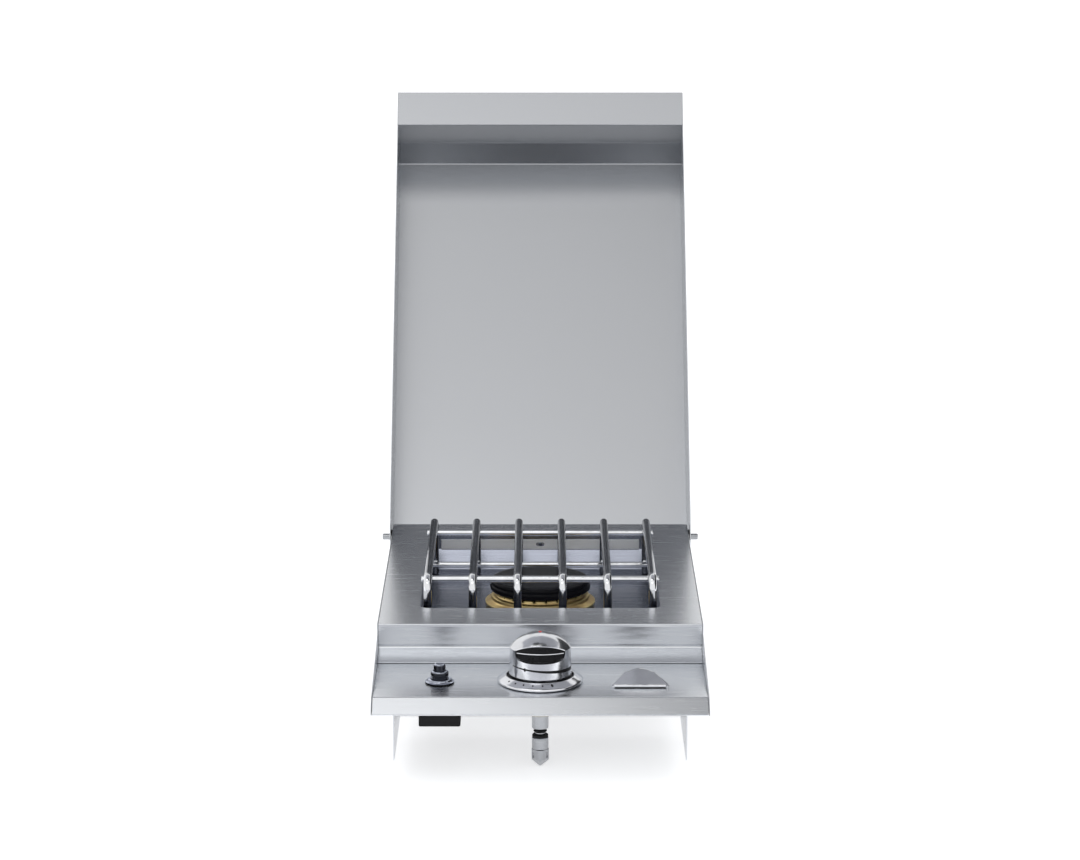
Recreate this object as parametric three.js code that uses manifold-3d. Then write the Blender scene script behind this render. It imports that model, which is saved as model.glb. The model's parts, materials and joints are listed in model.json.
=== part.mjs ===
// Built in side burner: a drop-in gas burner with a long sheet lid, shown open.
// Millimetres. X is to the right, Y to the rear, Z up. The origin lies on the counter,
// at the middle of the front return flange.
import * as THREE from 'three';
import { mergeVertices } from 'three/addons/utils/BufferGeometryUtils.js';
import Module from 'manifold-3d';

const wasm = await Module();
wasm.setup();

// Sheet and clearances
const sheet = 1.2;
const seam = 0.3;
const overrun = 5;
const screwRadius = 1.8;
const screwHole = 2.2;

// Body, seen from the side
const halfWidth = 166;
const openingSetback = 60.9;
const openingLength = 323.8;
const openingMargin = 31.3;
const openingRadius = 9;
const deckMargin = 41.6;
const deckHeight = 50.5;
const consoleHeight = 14;
const returnFlange = 20;
const rearFlange = 12;
const lipRun = 17.7;
const consoleReach = 151.5;
const riserDrop = 25.2;
const riserLean = 2;
const ledgeRun = 20;
const ledgeLift = 1.5;
const consoleTuck = 14;
const cheekDrop = 12;
const cheekRise = 0.6;
const frontEdge = -returnFlange / 2;
const consoleFold = frontEdge + lipRun;
const deckFront = frontEdge + consoleReach;
const openingHalf = halfWidth - deckMargin;
const openingFront = deckFront + openingSetback;
const openingRear = openingFront + openingLength;
const deckRear = openingRear + openingMargin;
const underDeck = deckHeight - sheet - seam;
const underConsole = consoleHeight - sheet - seam;
const ledgeFront = deckFront - ledgeRun + riserLean;
const deckHalf = halfWidth - sheet - seam;

// Box that hangs in the counter cut-out
const sideFlange = 21;
const boxDrop = 53.5;
const plateSetback = 24.5;
const bulkheadSetback = 20;
const drainHole = 1.6;
const drainInset = 6;
const drainDepth = 18;
const ventSlotWidth = 30;
const ventSlotHeight = 6;
const ventPitch = 44;
const ventHeight = 22;
const boxHalf = halfWidth - sideFlange;
const boxFront = frontEdge + plateSetback;
const boxRear = deckRear - rearFlange - seam;
const bulkhead = deckFront + bulkheadSetback;

// Opening, pan and burner
const panWall = 1;
const panInset = 1;
const panFlange = 7;
const panDepth = 40.5;
const panFoldDepth = 20.3;
const panDraft = 14;
const panFloor = deckHeight - panDepth;
const panFold = deckHeight - panFoldDepth;
const burnerX = 0;
const burnerY = openingFront + openingLength / 2;
const stripInset = 13.4;
const stripDrop = 9.4;
const stripHeight = 11;
const stripSheet = 1;
const slotLength = 9.5;
const slotHeight = 4.6;
const stripHalf = openingHalf - stripInset;
const stripTop = deckHeight - stripDrop;

// Burner base and cap, radii and heights over the pan floor
const boreRadius = 13;
const baseRadius = 59.2;
const baseFoot = 52;
const baseShoulder = 52.6;
const baseStepShares = [0.2, 0.3, 0.43, 0.64, 0.72, 0.87];
const baseNeck = 48;
const baseTop = 45.4;
const chamberRadius = 39.8;
const baseHeight = 17.2;
const chamberDepth = 11;
const portWidth = 2;
const portHeight = 3.2;
const portCount = 24;
const capRadius = 54.3;
const capFlatRadius = 49.6;
const capThickness = 12;
const capCrown = 0.8;
const capGap = 0.8;
const capSkirtRadius = 38.8;
const capSkirtWall = 2.4;
const capSkirtDepth = 6;
const capHollow = 3;
const capRimShares = [0.2, 0.45, 0.78, 0.95];
const capRollShares = [0.3, 0.75];

// Mixing tube, shutter and spark
const tubeRadius = 12.5;
const tubeWall = 2;
const tubeBend = 21.5;
const tubeAxis = -12;
const mouthGap = 45.7;
const windowLength = 16;
const windowHeight = 10;
const windowSetback = 10;
const shutterWall = 1.5;
const shutterMargin = 4;
const bracketWidth = 28;
const bracketSetback = 136;
const bracketFoot = 15;
const sparkX = 28;
const sparkSetback = 58;
const ceramicRadius = 3.4;
const ceramicHeight = 17.5;
const ceramicTail = 16;
const ceramicCollar = 5.8;
const ceramicTaper = 0.7;
const tipRadius = 0.9;
const tipHeight = 5;
const tipReach = 5;
const leadRadius = 1.6;
const leadBend = 7;
const leadRun = 24;
const leadDrop = 25;
const leadHoleX = -60;
const leadHeight = panFloor - leadDrop;

// Valve, stem and injector
const knobToLedge = 61.2;
const knobY = ledgeFront - knobToLedge;
const valveRadius = 13;
const valveBottom = -20;
const rotorRadius = 6.9;
const rotorClear = 0.3;
const rotorTop = 8;
const rotorHeight = 17;
const stemRadius = 4;
const stemClear = 0.3;
const pushTravel = 3;
const lugSpan = 52;
const lugWidth = 14;
const lugHeight = 6;
const lugHoleX = 20;
const headRadius = 3.2;
const headHeight = 2;
const bossRadius = 7.5;
const bossLength = 22;
const injectorRadius = 5.2;
const injectorLength = 18;
const injectorTip = 3;
const injectorBore = 1.2;

// Gas inlet, from the valve down
const gasBore = 3;
const unionRadius = 8.35;
const unionLength = 15.7;
const unionChamfer = 2;
const neckRadius = 3.7;
const ballRadius = 5.1;
const neckInset = 3;
const upperSealRadius = 6.8;
const upperSealHeight = 2;
const ballHeight = 2.6;
const lowerSealRadius = 8.1;
const lowerSealHeight = 2.6;
const collarLength = 12;
const nozzleRadius = 8.75;
const nozzleLength = 18;
const nozzlePoint = 8;
const nozzleTip = 1;
const nozzleFlats = 7.5;
const slotInset = 1.2;
const slotWidth = 1.4;
const slotRise = 5.5;

// Knob and bezel
const knobRadius = 31.3;
const knobTopRadius = 30.2;
const knobLift = 9.5;
const knobShoulder = 36;
const knobCrown = 15;
const knobWall = 2.6;
const knobHollow = 13.5;
const hubRadius = 8;
const hubDepth = 10;
const socketHeight = 21.8;
const scoopHalf = 24.7;
const scoopDrop = 11.2;
const scoopArc = 46;
const scoopFace = 25.2;
const gripDepth = 2;
const gripTop = 3;
const bezelRadius = 42.8;
const bezelInner = 33.4;
const bezelHeight = 8.9;
const bezelRim = 2.7;
const bezelFoot = 41;
const sealRadius = 32.8;
const sealInner = 24.5;
const sealHeight = 5.7;

// Igniter
const igniterInset = 45;
const igniterSetback = 67.5;
const igniterX = igniterInset - boxHalf;
const igniterY = frontEdge + igniterSetback;
const barrelRadius = 9;
const barrelTop = 12.5;
const barrelBottom = 16;
const barrelBore = 6.4;
const barrelFloor = 4;
const panelHoleClear = 0.4;
const ringRadius = 14.6;
const ringTopRadius = 12.2;
const ringHeight = 4.2;
const ringStepShare = 0.33;
const buttonRadius = 6;
const buttonHeight = 13.5;
const buttonDome = 1.2;
const buttonDomeShare = 0.25;
const buttonRise = 7;
const moduleWidth = 41.6;
const moduleDepth = 32;
const moduleHeight = 24.9;
const moduleCorner = 2;
const springWire = 0.5;
const springRadius = 4.6;
const springTurns = 4;

// Badge plate, bare
const badgeInset = 46;
const badgeHalf = 28.5;
const badgeBase = 26;
const badgeLength = 25.6;
const badgeThickness = 3.4;
const badgeTilt = 28;
const badgeCornerShare = 0.1;
const badgeX = boxHalf - badgeInset;
const badgeSetback = 47;
const badgeStud = 2.4;
const badgeStudX = 16;
const badgeStudSetback = 9;

// Grate
const rodRadius = 4.25;
const crossRadius = 3.45;
const rodCount = 6;
const rodInset = 7.15;
const legInset = 33.7;
const grateHeight = 25.5;
const rodBend = 12;
const weldBite = 0.4;
const crossInset = 29.7;
const crossReach = 0.4;
const lowerCrossInset = 3.4;
const lowerCrossHeight = 12.3;
const rodSpan = 2 * (openingHalf - rodInset);
const legSpan = openingLength - 2 * legInset;
const crossSpan = legSpan - 2 * crossInset;
const crossHalf = openingHalf + crossReach;
const lowerCrossHalf = openingHalf - lowerCrossInset;

// Lid, in its own frame: closed, with the hinge pin at zero
const pinSetback = 26;
const pinDrop = 7.7;
const openAngle = 127.36;
const lidOverhang = 3;
const lidSheet = 1;
const lidSetback = 4.2;
const skirtDrop = 20.9;
const panelRear = 70;
const panelFront = 63.4;
const wallLean = 6.4;
const chamferRun = 12;
const chamferDrop = 30;
const rearWallBack = 3.6;
const lipLength = 42.2;
const lipDip = 3.9;
const hingeCorner = 13.6;
const hingeBoss = 12;
const bossStart = -53;
const bossEnd = 20;
const pinRadius = 3;
const pinHead = 3.5;
const pinOverhang = 8.3;
const pinClear = 0.4;
const pinInside = 12;
const nutRadius = 6;
const nutHeight = 5;
const washerRadius = 8;
const lidHalf = halfWidth + lidOverhang;
const pinY = deckRear - pinSetback;
const pinZ = deckHeight - pinDrop;
const lidReach = pinY - consoleFold - lidSetback;
const panelReach = lidReach + wallLean - chamferRun;

// Facets
const roundFacets = 32;
const smallFacets = 20;
const screwFacets = 12;
const rodFacets = 8;
const bendSteps = 4;
const leadFacets = 6;
const leadSteps = 3;
const springFacets = 5;
const scoopFacets = 48;
const hexFacets = 6;
const squareFacets = 4;

// Finishes
const finish = (color, roughness, metalness) =>
  new THREE.MeshStandardMaterial({ color: new THREE.Color(...color), roughness, metalness });
const brushed = finish([0.62, 0.63, 0.65], 0.35, 1);
const satin = finish([0.5, 0.51, 0.53], 0.45, 1);
const chrome = finish([0.8, 0.81, 0.83], 0.08, 1);
const brass = finish([0.72, 0.55, 0.28], 0.3, 1);
const enamel = finish([0.03, 0.03, 0.035], 0.4, 0);
const blackPlastic = finish([0.04, 0.04, 0.045], 0.5, 0);
const rubber = finish([0.03, 0.03, 0.03], 0.8, 0);
const ceramic = finish([0.85, 0.83, 0.78], 0.5, 0);
const aluminium = finish([0.6, 0.61, 0.62], 0.5, 1);
const lead = finish([0.35, 0.05, 0.04], 0.6, 0);

const radians = THREE.MathUtils.degToRad;
const up = new THREE.Vector3(0, 0, 1);
const right = new THREE.Vector3(1, 0, 0);
const back = new THREE.Vector3(0, 1, 0);
const front = new THREE.Vector3(0, -1, 0);

// A closed geometry as a solid, with shared corners merged.
function toSolid(geometry) {
  const bare = geometry.clone();
  bare.deleteAttribute('normal');
  bare.deleteAttribute('uv');
  const merged = mergeVertices(bare);
  const corners = [];
  for (let i = 0; i < merged.index.count; i += 3) {
    const [a, b, c] = [0, 1, 2].map((k) => merged.index.getX(i + k));
    if (a !== b && b !== c && c !== a) corners.push(a, b, c);
  }
  return new wasm.Manifold(new wasm.Mesh({
    numProp: 3,
    vertProperties: new Float32Array(merged.attributes.position.array),
    triVerts: new Uint32Array(corners),
  }));
}

// A solid as a geometry.
function toGeometry(solid) {
  const { vertProperties, triVerts } = solid.getMesh();
  const geometry = new THREE.BufferGeometry();
  geometry.setAttribute('position', new THREE.BufferAttribute(vertProperties, 3));
  geometry.setIndex(new THREE.BufferAttribute(triVerts, 1));
  return geometry;
}

const join = (...parts) => toGeometry(parts.map(toSolid).reduce((sum, part) => sum.add(part)));
const cut = (body, ...tools) =>
  toGeometry(tools.map(toSolid).reduce((rest, tool) => rest.subtract(tool), toSolid(body)));
const common = (one, other) => toGeometry(toSolid(one).intersect(toSolid(other)));

// A box from its low corner to its high corner.
function block(x0, x1, y0, y1, z0, z1) {
  const geometry = new THREE.BoxGeometry(x1 - x0, y1 - y0, z1 - z0);
  return geometry.translate((x0 + x1) / 2, (y0 + y1) / 2, (z0 + z1) / 2);
}

// The low and high x of a plate that is mirrored from one side to the other.
const span = (side, inner, outer) => (side > 0 ? [inner, outer] : [-outer, -inner]);

const outline = (points) => new THREE.Shape(points.map(([a, b]) => new THREE.Vector2(a, b)));

function extrude(shape, depth) {
  return new THREE.ExtrudeGeometry(shape, { depth, bevelEnabled: false, curveSegments: bendSteps });
}

// Outline in y and z, run along x.
function alongX(points, x0, x1) {
  const geometry = extrude(outline(points), x1 - x0);
  geometry.applyMatrix4(new THREE.Matrix4().makeBasis(back, up, right));
  return geometry.translate(x0, 0, 0);
}

// Outline in x and z, run along y.
function alongY(points, y0, y1) {
  const geometry = extrude(outline(points), y1 - y0);
  geometry.applyMatrix4(new THREE.Matrix4().makeBasis(right, up, front));
  return geometry.translate(0, y1, 0);
}

// Shape in x and y, run up z.
const alongZ = (shape, z0, z1) => extrude(shape, z1 - z0).translate(0, 0, z0);

// A rectangle with round corners, in x and y.
function roundedRectangle(x0, x1, y0, y1, radius) {
  const quarter = Math.PI / 2;
  const shape = new THREE.Shape();
  shape.absarc(x1 - radius, y0 + radius, radius, -quarter, 0);
  shape.absarc(x1 - radius, y1 - radius, radius, 0, quarter);
  shape.absarc(x0 + radius, y1 - radius, radius, quarter, 2 * quarter);
  shape.absarc(x0 + radius, y0 + radius, radius, 2 * quarter, 3 * quarter);
  return shape;
}

// A closed profile of radius and height, turned about Z.
function turned(profile, facets = roundFacets) {
  const points = profile.map(([r, z]) => new THREE.Vector2(r, z));
  if (THREE.ShapeUtils.area(points) < 0) points.reverse();
  const onAxis = points.findIndex((p, i) => p.x === 0 && points.at(i - 1).x === 0);
  const ordered = onAxis < 0 ? [...points, points[0]] : [...points.slice(onAxis), ...points.slice(0, onAxis)];
  return new THREE.LatheGeometry(ordered, facets).rotateX(Math.PI / 2);
}

// A ring or rod between two heights.
const ring = (inner, outer, z0, z1, facets) =>
  turned([[inner, z0], [outer, z0], [outer, z1], [inner, z1]], facets);
const disc = (radius, z0, z1, facets = smallFacets) =>
  new THREE.CylinderGeometry(radius, radius, z1 - z0, facets).rotateX(Math.PI / 2)
    .translate(0, 0, (z0 + z1) / 2);

// A hole cutter along X or Y.
const drillX = (radius, y, z, reach) => disc(radius, -reach, reach).rotateY(Math.PI / 2).translate(0, y, z);
const drillY = (radius, x, z, y0, y1) =>
  disc(radius, -(y1 - y0) / 2, (y1 - y0) / 2).rotateX(Math.PI / 2).translate(x, (y0 + y1) / 2, z);

// A folded sheet: a line in y and z, given thickness to its left, or to its right if negative.
function folded(line, thickness, x0, x1) {
  const at = line.map(([y, z]) => new THREE.Vector2(y, z));
  const leftOf = (i) => {
    const d = at[i + 1].clone().sub(at[i]).normalize();
    return new THREE.Vector2(-d.y, d.x);
  };
  const offset = at.map((p, i) => {
    const a = leftOf(Math.max(i - 1, 0));
    const b = leftOf(Math.min(i, at.length - 2));
    return p.clone().add(a.clone().add(b).multiplyScalar(thickness / (1 + a.dot(b))));
  });
  return alongX([...line, ...offset.reverse().map((p) => [p.x, p.y])], x0, x1);
}

// A path through given stations, one step to each.
class Stations extends THREE.Curve {
  constructor(points) {
    super();
    this.points = points;
  }

  getPoint(t, target = new THREE.Vector3()) {
    const last = this.points.length - 1;
    const i = Math.min(Math.floor(t * last), last - 1);
    return target.lerpVectors(this.points[i], this.points[i + 1], t * last - i);
  }

  getUtoTmapping(u) {
    return u;
  }
}

// Corners rounded to stations.
function bent(corners, radius, steps = bendSteps) {
  const at = corners.map((c) => new THREE.Vector3(...c));
  const stations = [at[0]];
  for (let i = 1; i < at.length - 1; i += 1) {
    const inward = at[i - 1].clone().sub(at[i]).normalize();
    const outward = at[i + 1].clone().sub(at[i]).normalize();
    const half = inward.angleTo(outward) / 2;
    const middle = inward.clone().add(outward).normalize();
    const centre = at[i].clone().addScaledVector(middle, radius / Math.sin(half));
    const start = at[i].clone().addScaledVector(inward, radius / Math.tan(half)).sub(centre);
    const axis = inward.clone().cross(start).normalize();
    for (let k = 0; k <= steps; k += 1) {
      const turn = (Math.PI - 2 * half) * (k / steps);
      stations.push(start.clone().applyAxisAngle(axis, turn).add(centre));
    }
  }
  stations.push(at.at(-1));
  return stations;
}

// A round rod through stations, its flats at the radius.
function rod(stations, radius, facets = rodFacets) {
  const corner = radius / Math.cos(Math.PI / facets);
  const section = new THREE.Shape();
  for (let i = 0; i < facets; i += 1) {
    const turn = (Math.PI * (2 * i + 1)) / facets;
    section[i ? 'lineTo' : 'moveTo'](corner * Math.cos(turn), corner * Math.sin(turn));
  }
  return new THREE.ExtrudeGeometry(section, {
    steps: stations.length - 1, extrudePath: new Stations(stations), bevelEnabled: false,
  });
}

// A coil spring standing on z0, wound up to z1.
function spring(x, y, z0, z1, radius, wire) {
  const perTurn = 8;
  const count = springTurns * perTurn;
  const stations = Array.from({ length: count + 1 }, (_, i) => {
    const turn = (2 * Math.PI * i) / perTurn;
    const rise = z0 + wire + ((z1 - z0 - 2 * wire) * i) / count;
    return new THREE.Vector3(x + radius * Math.cos(turn), y + radius * Math.sin(turn), rise);
  });
  return rod(stations, wire, springFacets);
}

function piece(name, geometry, material) {
  const mesh = new THREE.Mesh(geometry, material);
  mesh.name = name;
  return mesh;
}

// Deck with its riser and ledge, cut for the burner well.
function deckSheet() {
  const top = [
    [deckRear, deckHeight],
    [deckFront, deckHeight],
    [deckFront + riserLean, deckHeight - riserDrop],
    [ledgeFront, consoleHeight + ledgeLift],
  ];
  const opening = roundedRectangle(-openingHalf, openingHalf, openingFront, openingRear, openingRadius);
  return cut(
    folded(top, sheet, -deckHalf, deckHalf),
    alongZ(opening, underDeck - overrun, deckHeight + overrun),
  );
}

// Outer side wall: its top edge steps down beside the console. Its foot turns in to rest on the counter.
function sideWall(side) {
  const wall = alongX([
    [deckRear, 0],
    [deckRear, deckHeight],
    [deckFront, deckHeight],
    [deckFront, deckHeight - cheekDrop],
    [consoleFold, consoleHeight + cheekRise],
    [frontEdge, 0],
  ], ...span(side, halfWidth - sheet, halfWidth));
  const foot = block(
    ...span(side, boxHalf + seam, halfWidth - sheet / 2),
    frontEdge + returnFlange + seam, deckRear - sheet - seam, 0, sheet,
  );
  return cut(join(wall, foot), drillX(pinRadius + pinClear, pinY, pinZ, halfWidth + overrun));
}

function rearWall() {
  const wall = block(-deckHalf, deckHalf, deckRear - sheet, deckRear, 0, underDeck);
  const foot = block(-boxHalf, boxHalf, deckRear - rearFlange, deckRear - sheet / 2, 0, sheet);
  return join(wall, foot);
}

// Console: panel, sloping lip and the return flange that rests on the counter.
function consoleSheet() {
  const line = [
    [ledgeFront + consoleTuck, consoleHeight],
    [consoleFold, consoleHeight],
    [frontEdge, 0],
    [frontEdge + returnFlange, 0],
  ];
  const hole = (radius, x, y) =>
    disc(radius, underConsole - overrun, consoleHeight + overrun).translate(x, y, 0);
  return cut(
    folded(line, sheet, -deckHalf, deckHalf),
    hole(stemRadius + 2 * stemClear, 0, knobY),
    hole(screwHole, lugHoleX, knobY),
    hole(screwHole, -lugHoleX, knobY),
    hole(barrelRadius + panelHoleClear, igniterX, igniterY),
  );
}

// Plate at the side of the box. It reaches forward under the console.
function boxPlate(side) {
  const step = deckFront + riserLean + sheet + 2 * seam;
  const plate = alongX([
    [boxFront, -boxDrop],
    [boxRear, -boxDrop],
    [boxRear, underDeck],
    [step, underDeck],
    [step, underConsole],
    [boxFront, underConsole],
  ], ...span(side, boxHalf - sheet, boxHalf));
  return cut(plate, drillX(drainHole, boxFront + drainInset, -drainDepth, boxHalf + overrun));
}

const boxInner = boxHalf - sheet - seam;
const boxFloor = -boxDrop + sheet;

function frontBulkhead() {
  return cut(
    block(-boxInner, boxInner, bulkhead, bulkhead + sheet, boxFloor + seam, underDeck),
    drillY(tubeRadius + 2 * seam, 0, tubeAxis, bulkhead - overrun, bulkhead + overrun),
    drillY(leadRadius + 2 * seam, leadHoleX, leadHeight, bulkhead - overrun, bulkhead + overrun),
  );
}

function boxRearPanel() {
  const slots = [-2, -1, 0, 1, 2].map((i) => block(
    i * ventPitch - ventSlotWidth / 2, i * ventPitch + ventSlotWidth / 2,
    boxRear - overrun, boxRear + overrun,
    -ventHeight - ventSlotHeight / 2, -ventHeight + ventSlotHeight / 2,
  ));
  return cut(block(-boxInner, boxInner, boxRear - sheet, boxRear, boxFloor + seam, underDeck), ...slots);
}

const boxBottom = () => block(-boxInner, boxInner, bulkhead, boxRear, -boxDrop, boxFloor);

// Burner well: straight walls, a fold, then a draft to the floor at the front and rear.
function burnerPan() {
  const inner = panInset;
  const outer = panInset - panWall;
  const well = (inset, floor, top) => common(
    alongX([
      [openingFront + inset, top],
      [openingFront + inset, panFold],
      [openingFront + inset + panDraft, floor],
      [openingRear - inset - panDraft, floor],
      [openingRear - inset, panFold],
      [openingRear - inset, top],
    ], -openingHalf - overrun, openingHalf + overrun),
    alongZ(roundedRectangle(
      -openingHalf + inset, openingHalf - inset, openingFront + inset, openingRear - inset, openingRadius,
    ), floor - overrun, top + overrun),
  );
  const flange = alongZ(roundedRectangle(
    -openingHalf - panFlange, openingHalf + panFlange,
    openingFront - panFlange, openingRear + panFlange, openingRadius + panFlange,
  ), underDeck - panWall, underDeck);
  const floorHole = (radius, x, y) =>
    disc(radius, panFloor - overrun, panFloor + overrun).translate(x, y, 0);
  return cut(
    join(well(outer, panFloor - panWall, underDeck), flange),
    well(inner, panFloor, underDeck + overrun),
    floorHole(boreRadius + seam, burnerX, burnerY),
    floorHole(ceramicRadius + seam, sparkX, burnerY + sparkSetback),
  );
}

// Strip along the rear wall of the well, with its fixing slot.
function panStrip() {
  const face = openingRear - panInset - seam;
  const strip = block(-stripHalf, stripHalf, face - stripSheet, face, stripTop - stripHeight, stripTop);
  const middle = stripTop - stripHeight / 2;
  const half = (slotLength - slotHeight) / 2;
  const reach = [face - stripSheet - overrun, face + overrun];
  return cut(
    strip,
    block(-half, half, ...reach, middle - slotHeight / 2, middle + slotHeight / 2),
    drillY(slotHeight / 2, half, middle, ...reach),
    drillY(slotHeight / 2, -half, middle, ...reach),
  );
}

function stripScrew() {
  const face = openingRear - panInset - seam;
  const middle = stripTop - stripHeight / 2;
  return drillY(slotHeight / 2 - seam, 0, middle, face - stripSheet - seam, face);
}

// Brass ring with its gas chamber, bored for the mixing tube and slotted for the flame.
function burnerBase() {
  const foot = panFloor + seam;
  const top = panFloor + baseHeight;
  const [rimLow, rimHigh, waist, shoulder, neck, lip] =
    baseStepShares.map((share) => foot + share * (top - foot));
  const profile = [
    [boreRadius, foot], [baseFoot, foot], [baseRadius, rimLow], [baseRadius, rimHigh],
    [baseShoulder + panWall, waist], [baseShoulder, shoulder], [baseNeck + panWall, neck],
    [baseNeck, lip], [baseTop, top], [chamberRadius + panWall, top],
    [chamberRadius, top - chamberDepth], [boreRadius + panWall, top - chamberDepth],
    [boreRadius, top - chamberDepth - panWall],
  ];
  const ports = Array.from({ length: portCount }, (_, i) =>
    block(chamberRadius, baseNeck + overrun, -portWidth / 2, portWidth / 2, top - portHeight, top + overrun)
      .rotateZ((Math.PI * (2 * i + 1)) / portCount));
  return cut(turned(profile), ...ports).translate(burnerX, burnerY, 0);
}

// Black cap with its rounded rim and the skirt that locates it in the base.
function burnerCap() {
  const under = panFloor + baseHeight + capGap;
  const top = under + capThickness;
  const [low, middle, high, crest] = capRimShares.map((share) => under + share * capThickness);
  const [edge, brow] = capRollShares.map((share) => capRadius - share * (capRadius - capFlatRadius));
  const profile = [
    [0, under + capHollow], [capSkirtRadius - capSkirtWall, under + capHollow],
    [capSkirtRadius - capSkirtWall, under - capSkirtDepth], [capSkirtRadius, under - capSkirtDepth],
    [capSkirtRadius, under], [edge, under], [capRadius, low], [capRadius, middle], [edge, high],
    [brow, crest], [capFlatRadius, top], [0, top + capCrown],
  ];
  return turned(profile).translate(burnerX, burnerY, 0);
}

const tubeMouth = knobY + mouthGap;

// Mixing tube from its mouth by the injector, back and up into the burner base.
function mixingTube() {
  const run = (from, to) => bent([
    [burnerX, from, tubeAxis], [burnerX, burnerY, tubeAxis], [burnerX, burnerY, to],
  ], tubeBend);
  const seat = panFloor + seam + baseHeight - chamberDepth - 2 * panWall;
  const windows = block(
    -tubeRadius - overrun, tubeRadius + overrun,
    tubeMouth + windowSetback, tubeMouth + windowSetback + windowLength,
    tubeAxis - windowHeight / 2, tubeAxis + windowHeight / 2,
  );
  return cut(
    rod(run(tubeMouth, seat), tubeRadius, smallFacets),
    rod(run(tubeMouth - overrun, seat + overrun), tubeRadius - tubeWall, smallFacets),
    windows,
  );
}

// Sleeve that turns on the tube to open or close its air windows.
function airShutter() {
  const inner = tubeRadius + 2 * seam;
  const from = tubeMouth + windowSetback - shutterMargin;
  const to = tubeMouth + windowSetback + windowLength + shutterMargin;
  const sleeve = ring(inner, inner + shutterWall, from, to, smallFacets).rotateX(-Math.PI / 2)
    .translate(0, 0, tubeAxis);
  return cut(sleeve, block(
    -tubeRadius - 2 * overrun, tubeRadius + 2 * overrun, from + shutterMargin, to - shutterMargin,
    tubeAxis - windowHeight / 2, tubeAxis + windowHeight / 2,
  ));
}

function tubeBracket() {
  const y = bulkhead + bracketSetback;
  const floor = boxFloor + seam;
  const half = bracketWidth / 2;
  const plate = block(-half, half, y, y + sheet, floor, tubeAxis);
  const foot = block(-half, half, y + sheet / 2, y + bracketFoot, floor, floor + sheet);
  return cut(join(plate, foot), drillY(tubeRadius + 2 * seam, 0, tubeAxis, y - overrun, y + overrun));
}

function sparkCeramic() {
  const z = panFloor;
  return turned([
    [tipRadius + seam, z - ceramicTail], [ceramicRadius, z - ceramicTail], [ceramicRadius, z + seam],
    [ceramicCollar, z + seam], [ceramicCollar, z + seam + 2 * sheet], [ceramicRadius, z + seam + 2 * sheet],
    [ceramicRadius - ceramicTaper, z + ceramicHeight], [tipRadius + seam, z + ceramicHeight],
  ], smallFacets).translate(sparkX, burnerY + sparkSetback, 0);
}

function sparkTip() {
  const [x, y] = [sparkX, burnerY + sparkSetback];
  const top = panFloor + ceramicHeight + tipHeight;
  const bottom = panFloor - ceramicTail + sheet;
  const corners = [[x, y, bottom], [x, y, top], [x, y - tipReach, top]];
  return rod(bent(corners, 2 * tipRadius, leadSteps), tipRadius, leadFacets);
}

const moduleTop = consoleHeight - barrelBottom - seam;

// Lead from the module, through the bulkhead, under the pan to the electrode.
function ignitionLead() {
  const start = igniterY + moduleDepth / 2 + seam;
  const turnY = burnerY + sparkSetback;
  const crossY = turnY - leadRun;
  return rod(bent([
    [igniterX, start, leadHeight],
    [igniterX, start + leadRun, leadHeight],
    [leadHoleX, bulkhead - leadRun, leadHeight],
    [leadHoleX, crossY, leadHeight],
    [sparkX, crossY, leadHeight],
    [sparkX, turnY, leadHeight],
    [sparkX, turnY, panFloor - ceramicTail - seam],
  ], leadBend, leadSteps), leadRadius, leadFacets);
}

// Gas valve: bored for its rotor, with lugs under the console and an outlet boss to the rear.
function valveBody() {
  const top = underConsole;
  const body = disc(valveRadius, valveBottom, top);
  const lugs = block(-lugSpan / 2, lugSpan / 2, -lugWidth / 2, lugWidth / 2, top - lugHeight, top);
  const boss = disc(bossRadius, 0, valveRadius + bossLength).rotateX(-Math.PI / 2).translate(0, 0, tubeAxis);
  const bore = disc(rotorRadius + rotorClear, rotorTop - rotorHeight - rotorClear, top + overrun);
  const lugHole = (x) =>
    disc(screwHole, top - lugHeight - overrun, top + overrun, screwFacets).translate(x, 0, 0);
  return cut(join(body, lugs, boss), bore, lugHole(lugHoleX), lugHole(-lugHoleX)).translate(0, knobY, 0);
}

const rotorFloor = rotorTop - rotorHeight + pushTravel;

function valveRotor() {
  const bottom = rotorTop - rotorHeight;
  return turned([
    [0, bottom], [rotorRadius, bottom], [rotorRadius, rotorTop], [stemRadius + stemClear, rotorTop],
    [stemRadius + stemClear, rotorFloor], [0, rotorFloor],
  ], smallFacets).translate(0, knobY, 0);
}

const knobBottom = consoleHeight + knobLift;
const socketTop = knobBottom + socketHeight;
const hubBottom = knobBottom + knobHollow - hubDepth;

function valveStem() {
  const bottom = rotorFloor + pushTravel + stemClear;
  return disc(stemRadius, bottom, socketTop - seam).translate(0, knobY, 0);
}

function valveScrews(side) {
  const head = disc(headRadius, consoleHeight + seam, consoleHeight + seam + headHeight, screwFacets);
  const shank = disc(screwRadius, underConsole - lugHeight, consoleHeight + headHeight, screwFacets);
  return join(head, shank).translate(side * lugHoleX, knobY, 0);
}

function injector() {
  const start = knobY + valveRadius + bossLength + seam;
  const profile = [
    [injectorBore, start], [injectorRadius, start], [injectorRadius, start + injectorLength - injectorTip],
    [injectorRadius - injectorTip, start + injectorLength], [injectorBore, start + injectorLength],
  ];
  return turned(profile, smallFacets).rotateX(-Math.PI / 2).translate(0, 0, tubeAxis);
}

// Heights of the inlet pieces, from the valve down.
const unionTop = valveBottom - seam;
const unionEnd = unionTop - unionLength;
const upperSealEnd = unionEnd - seam - upperSealHeight;
const lowerSealTop = upperSealEnd - ballHeight;
const lowerSealEnd = lowerSealTop - lowerSealHeight;
const collarEnd = lowerSealEnd - seam - collarLength;
const nozzleTop = collarEnd - seam;
const nozzleEnd = nozzleTop - nozzleLength;

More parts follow.
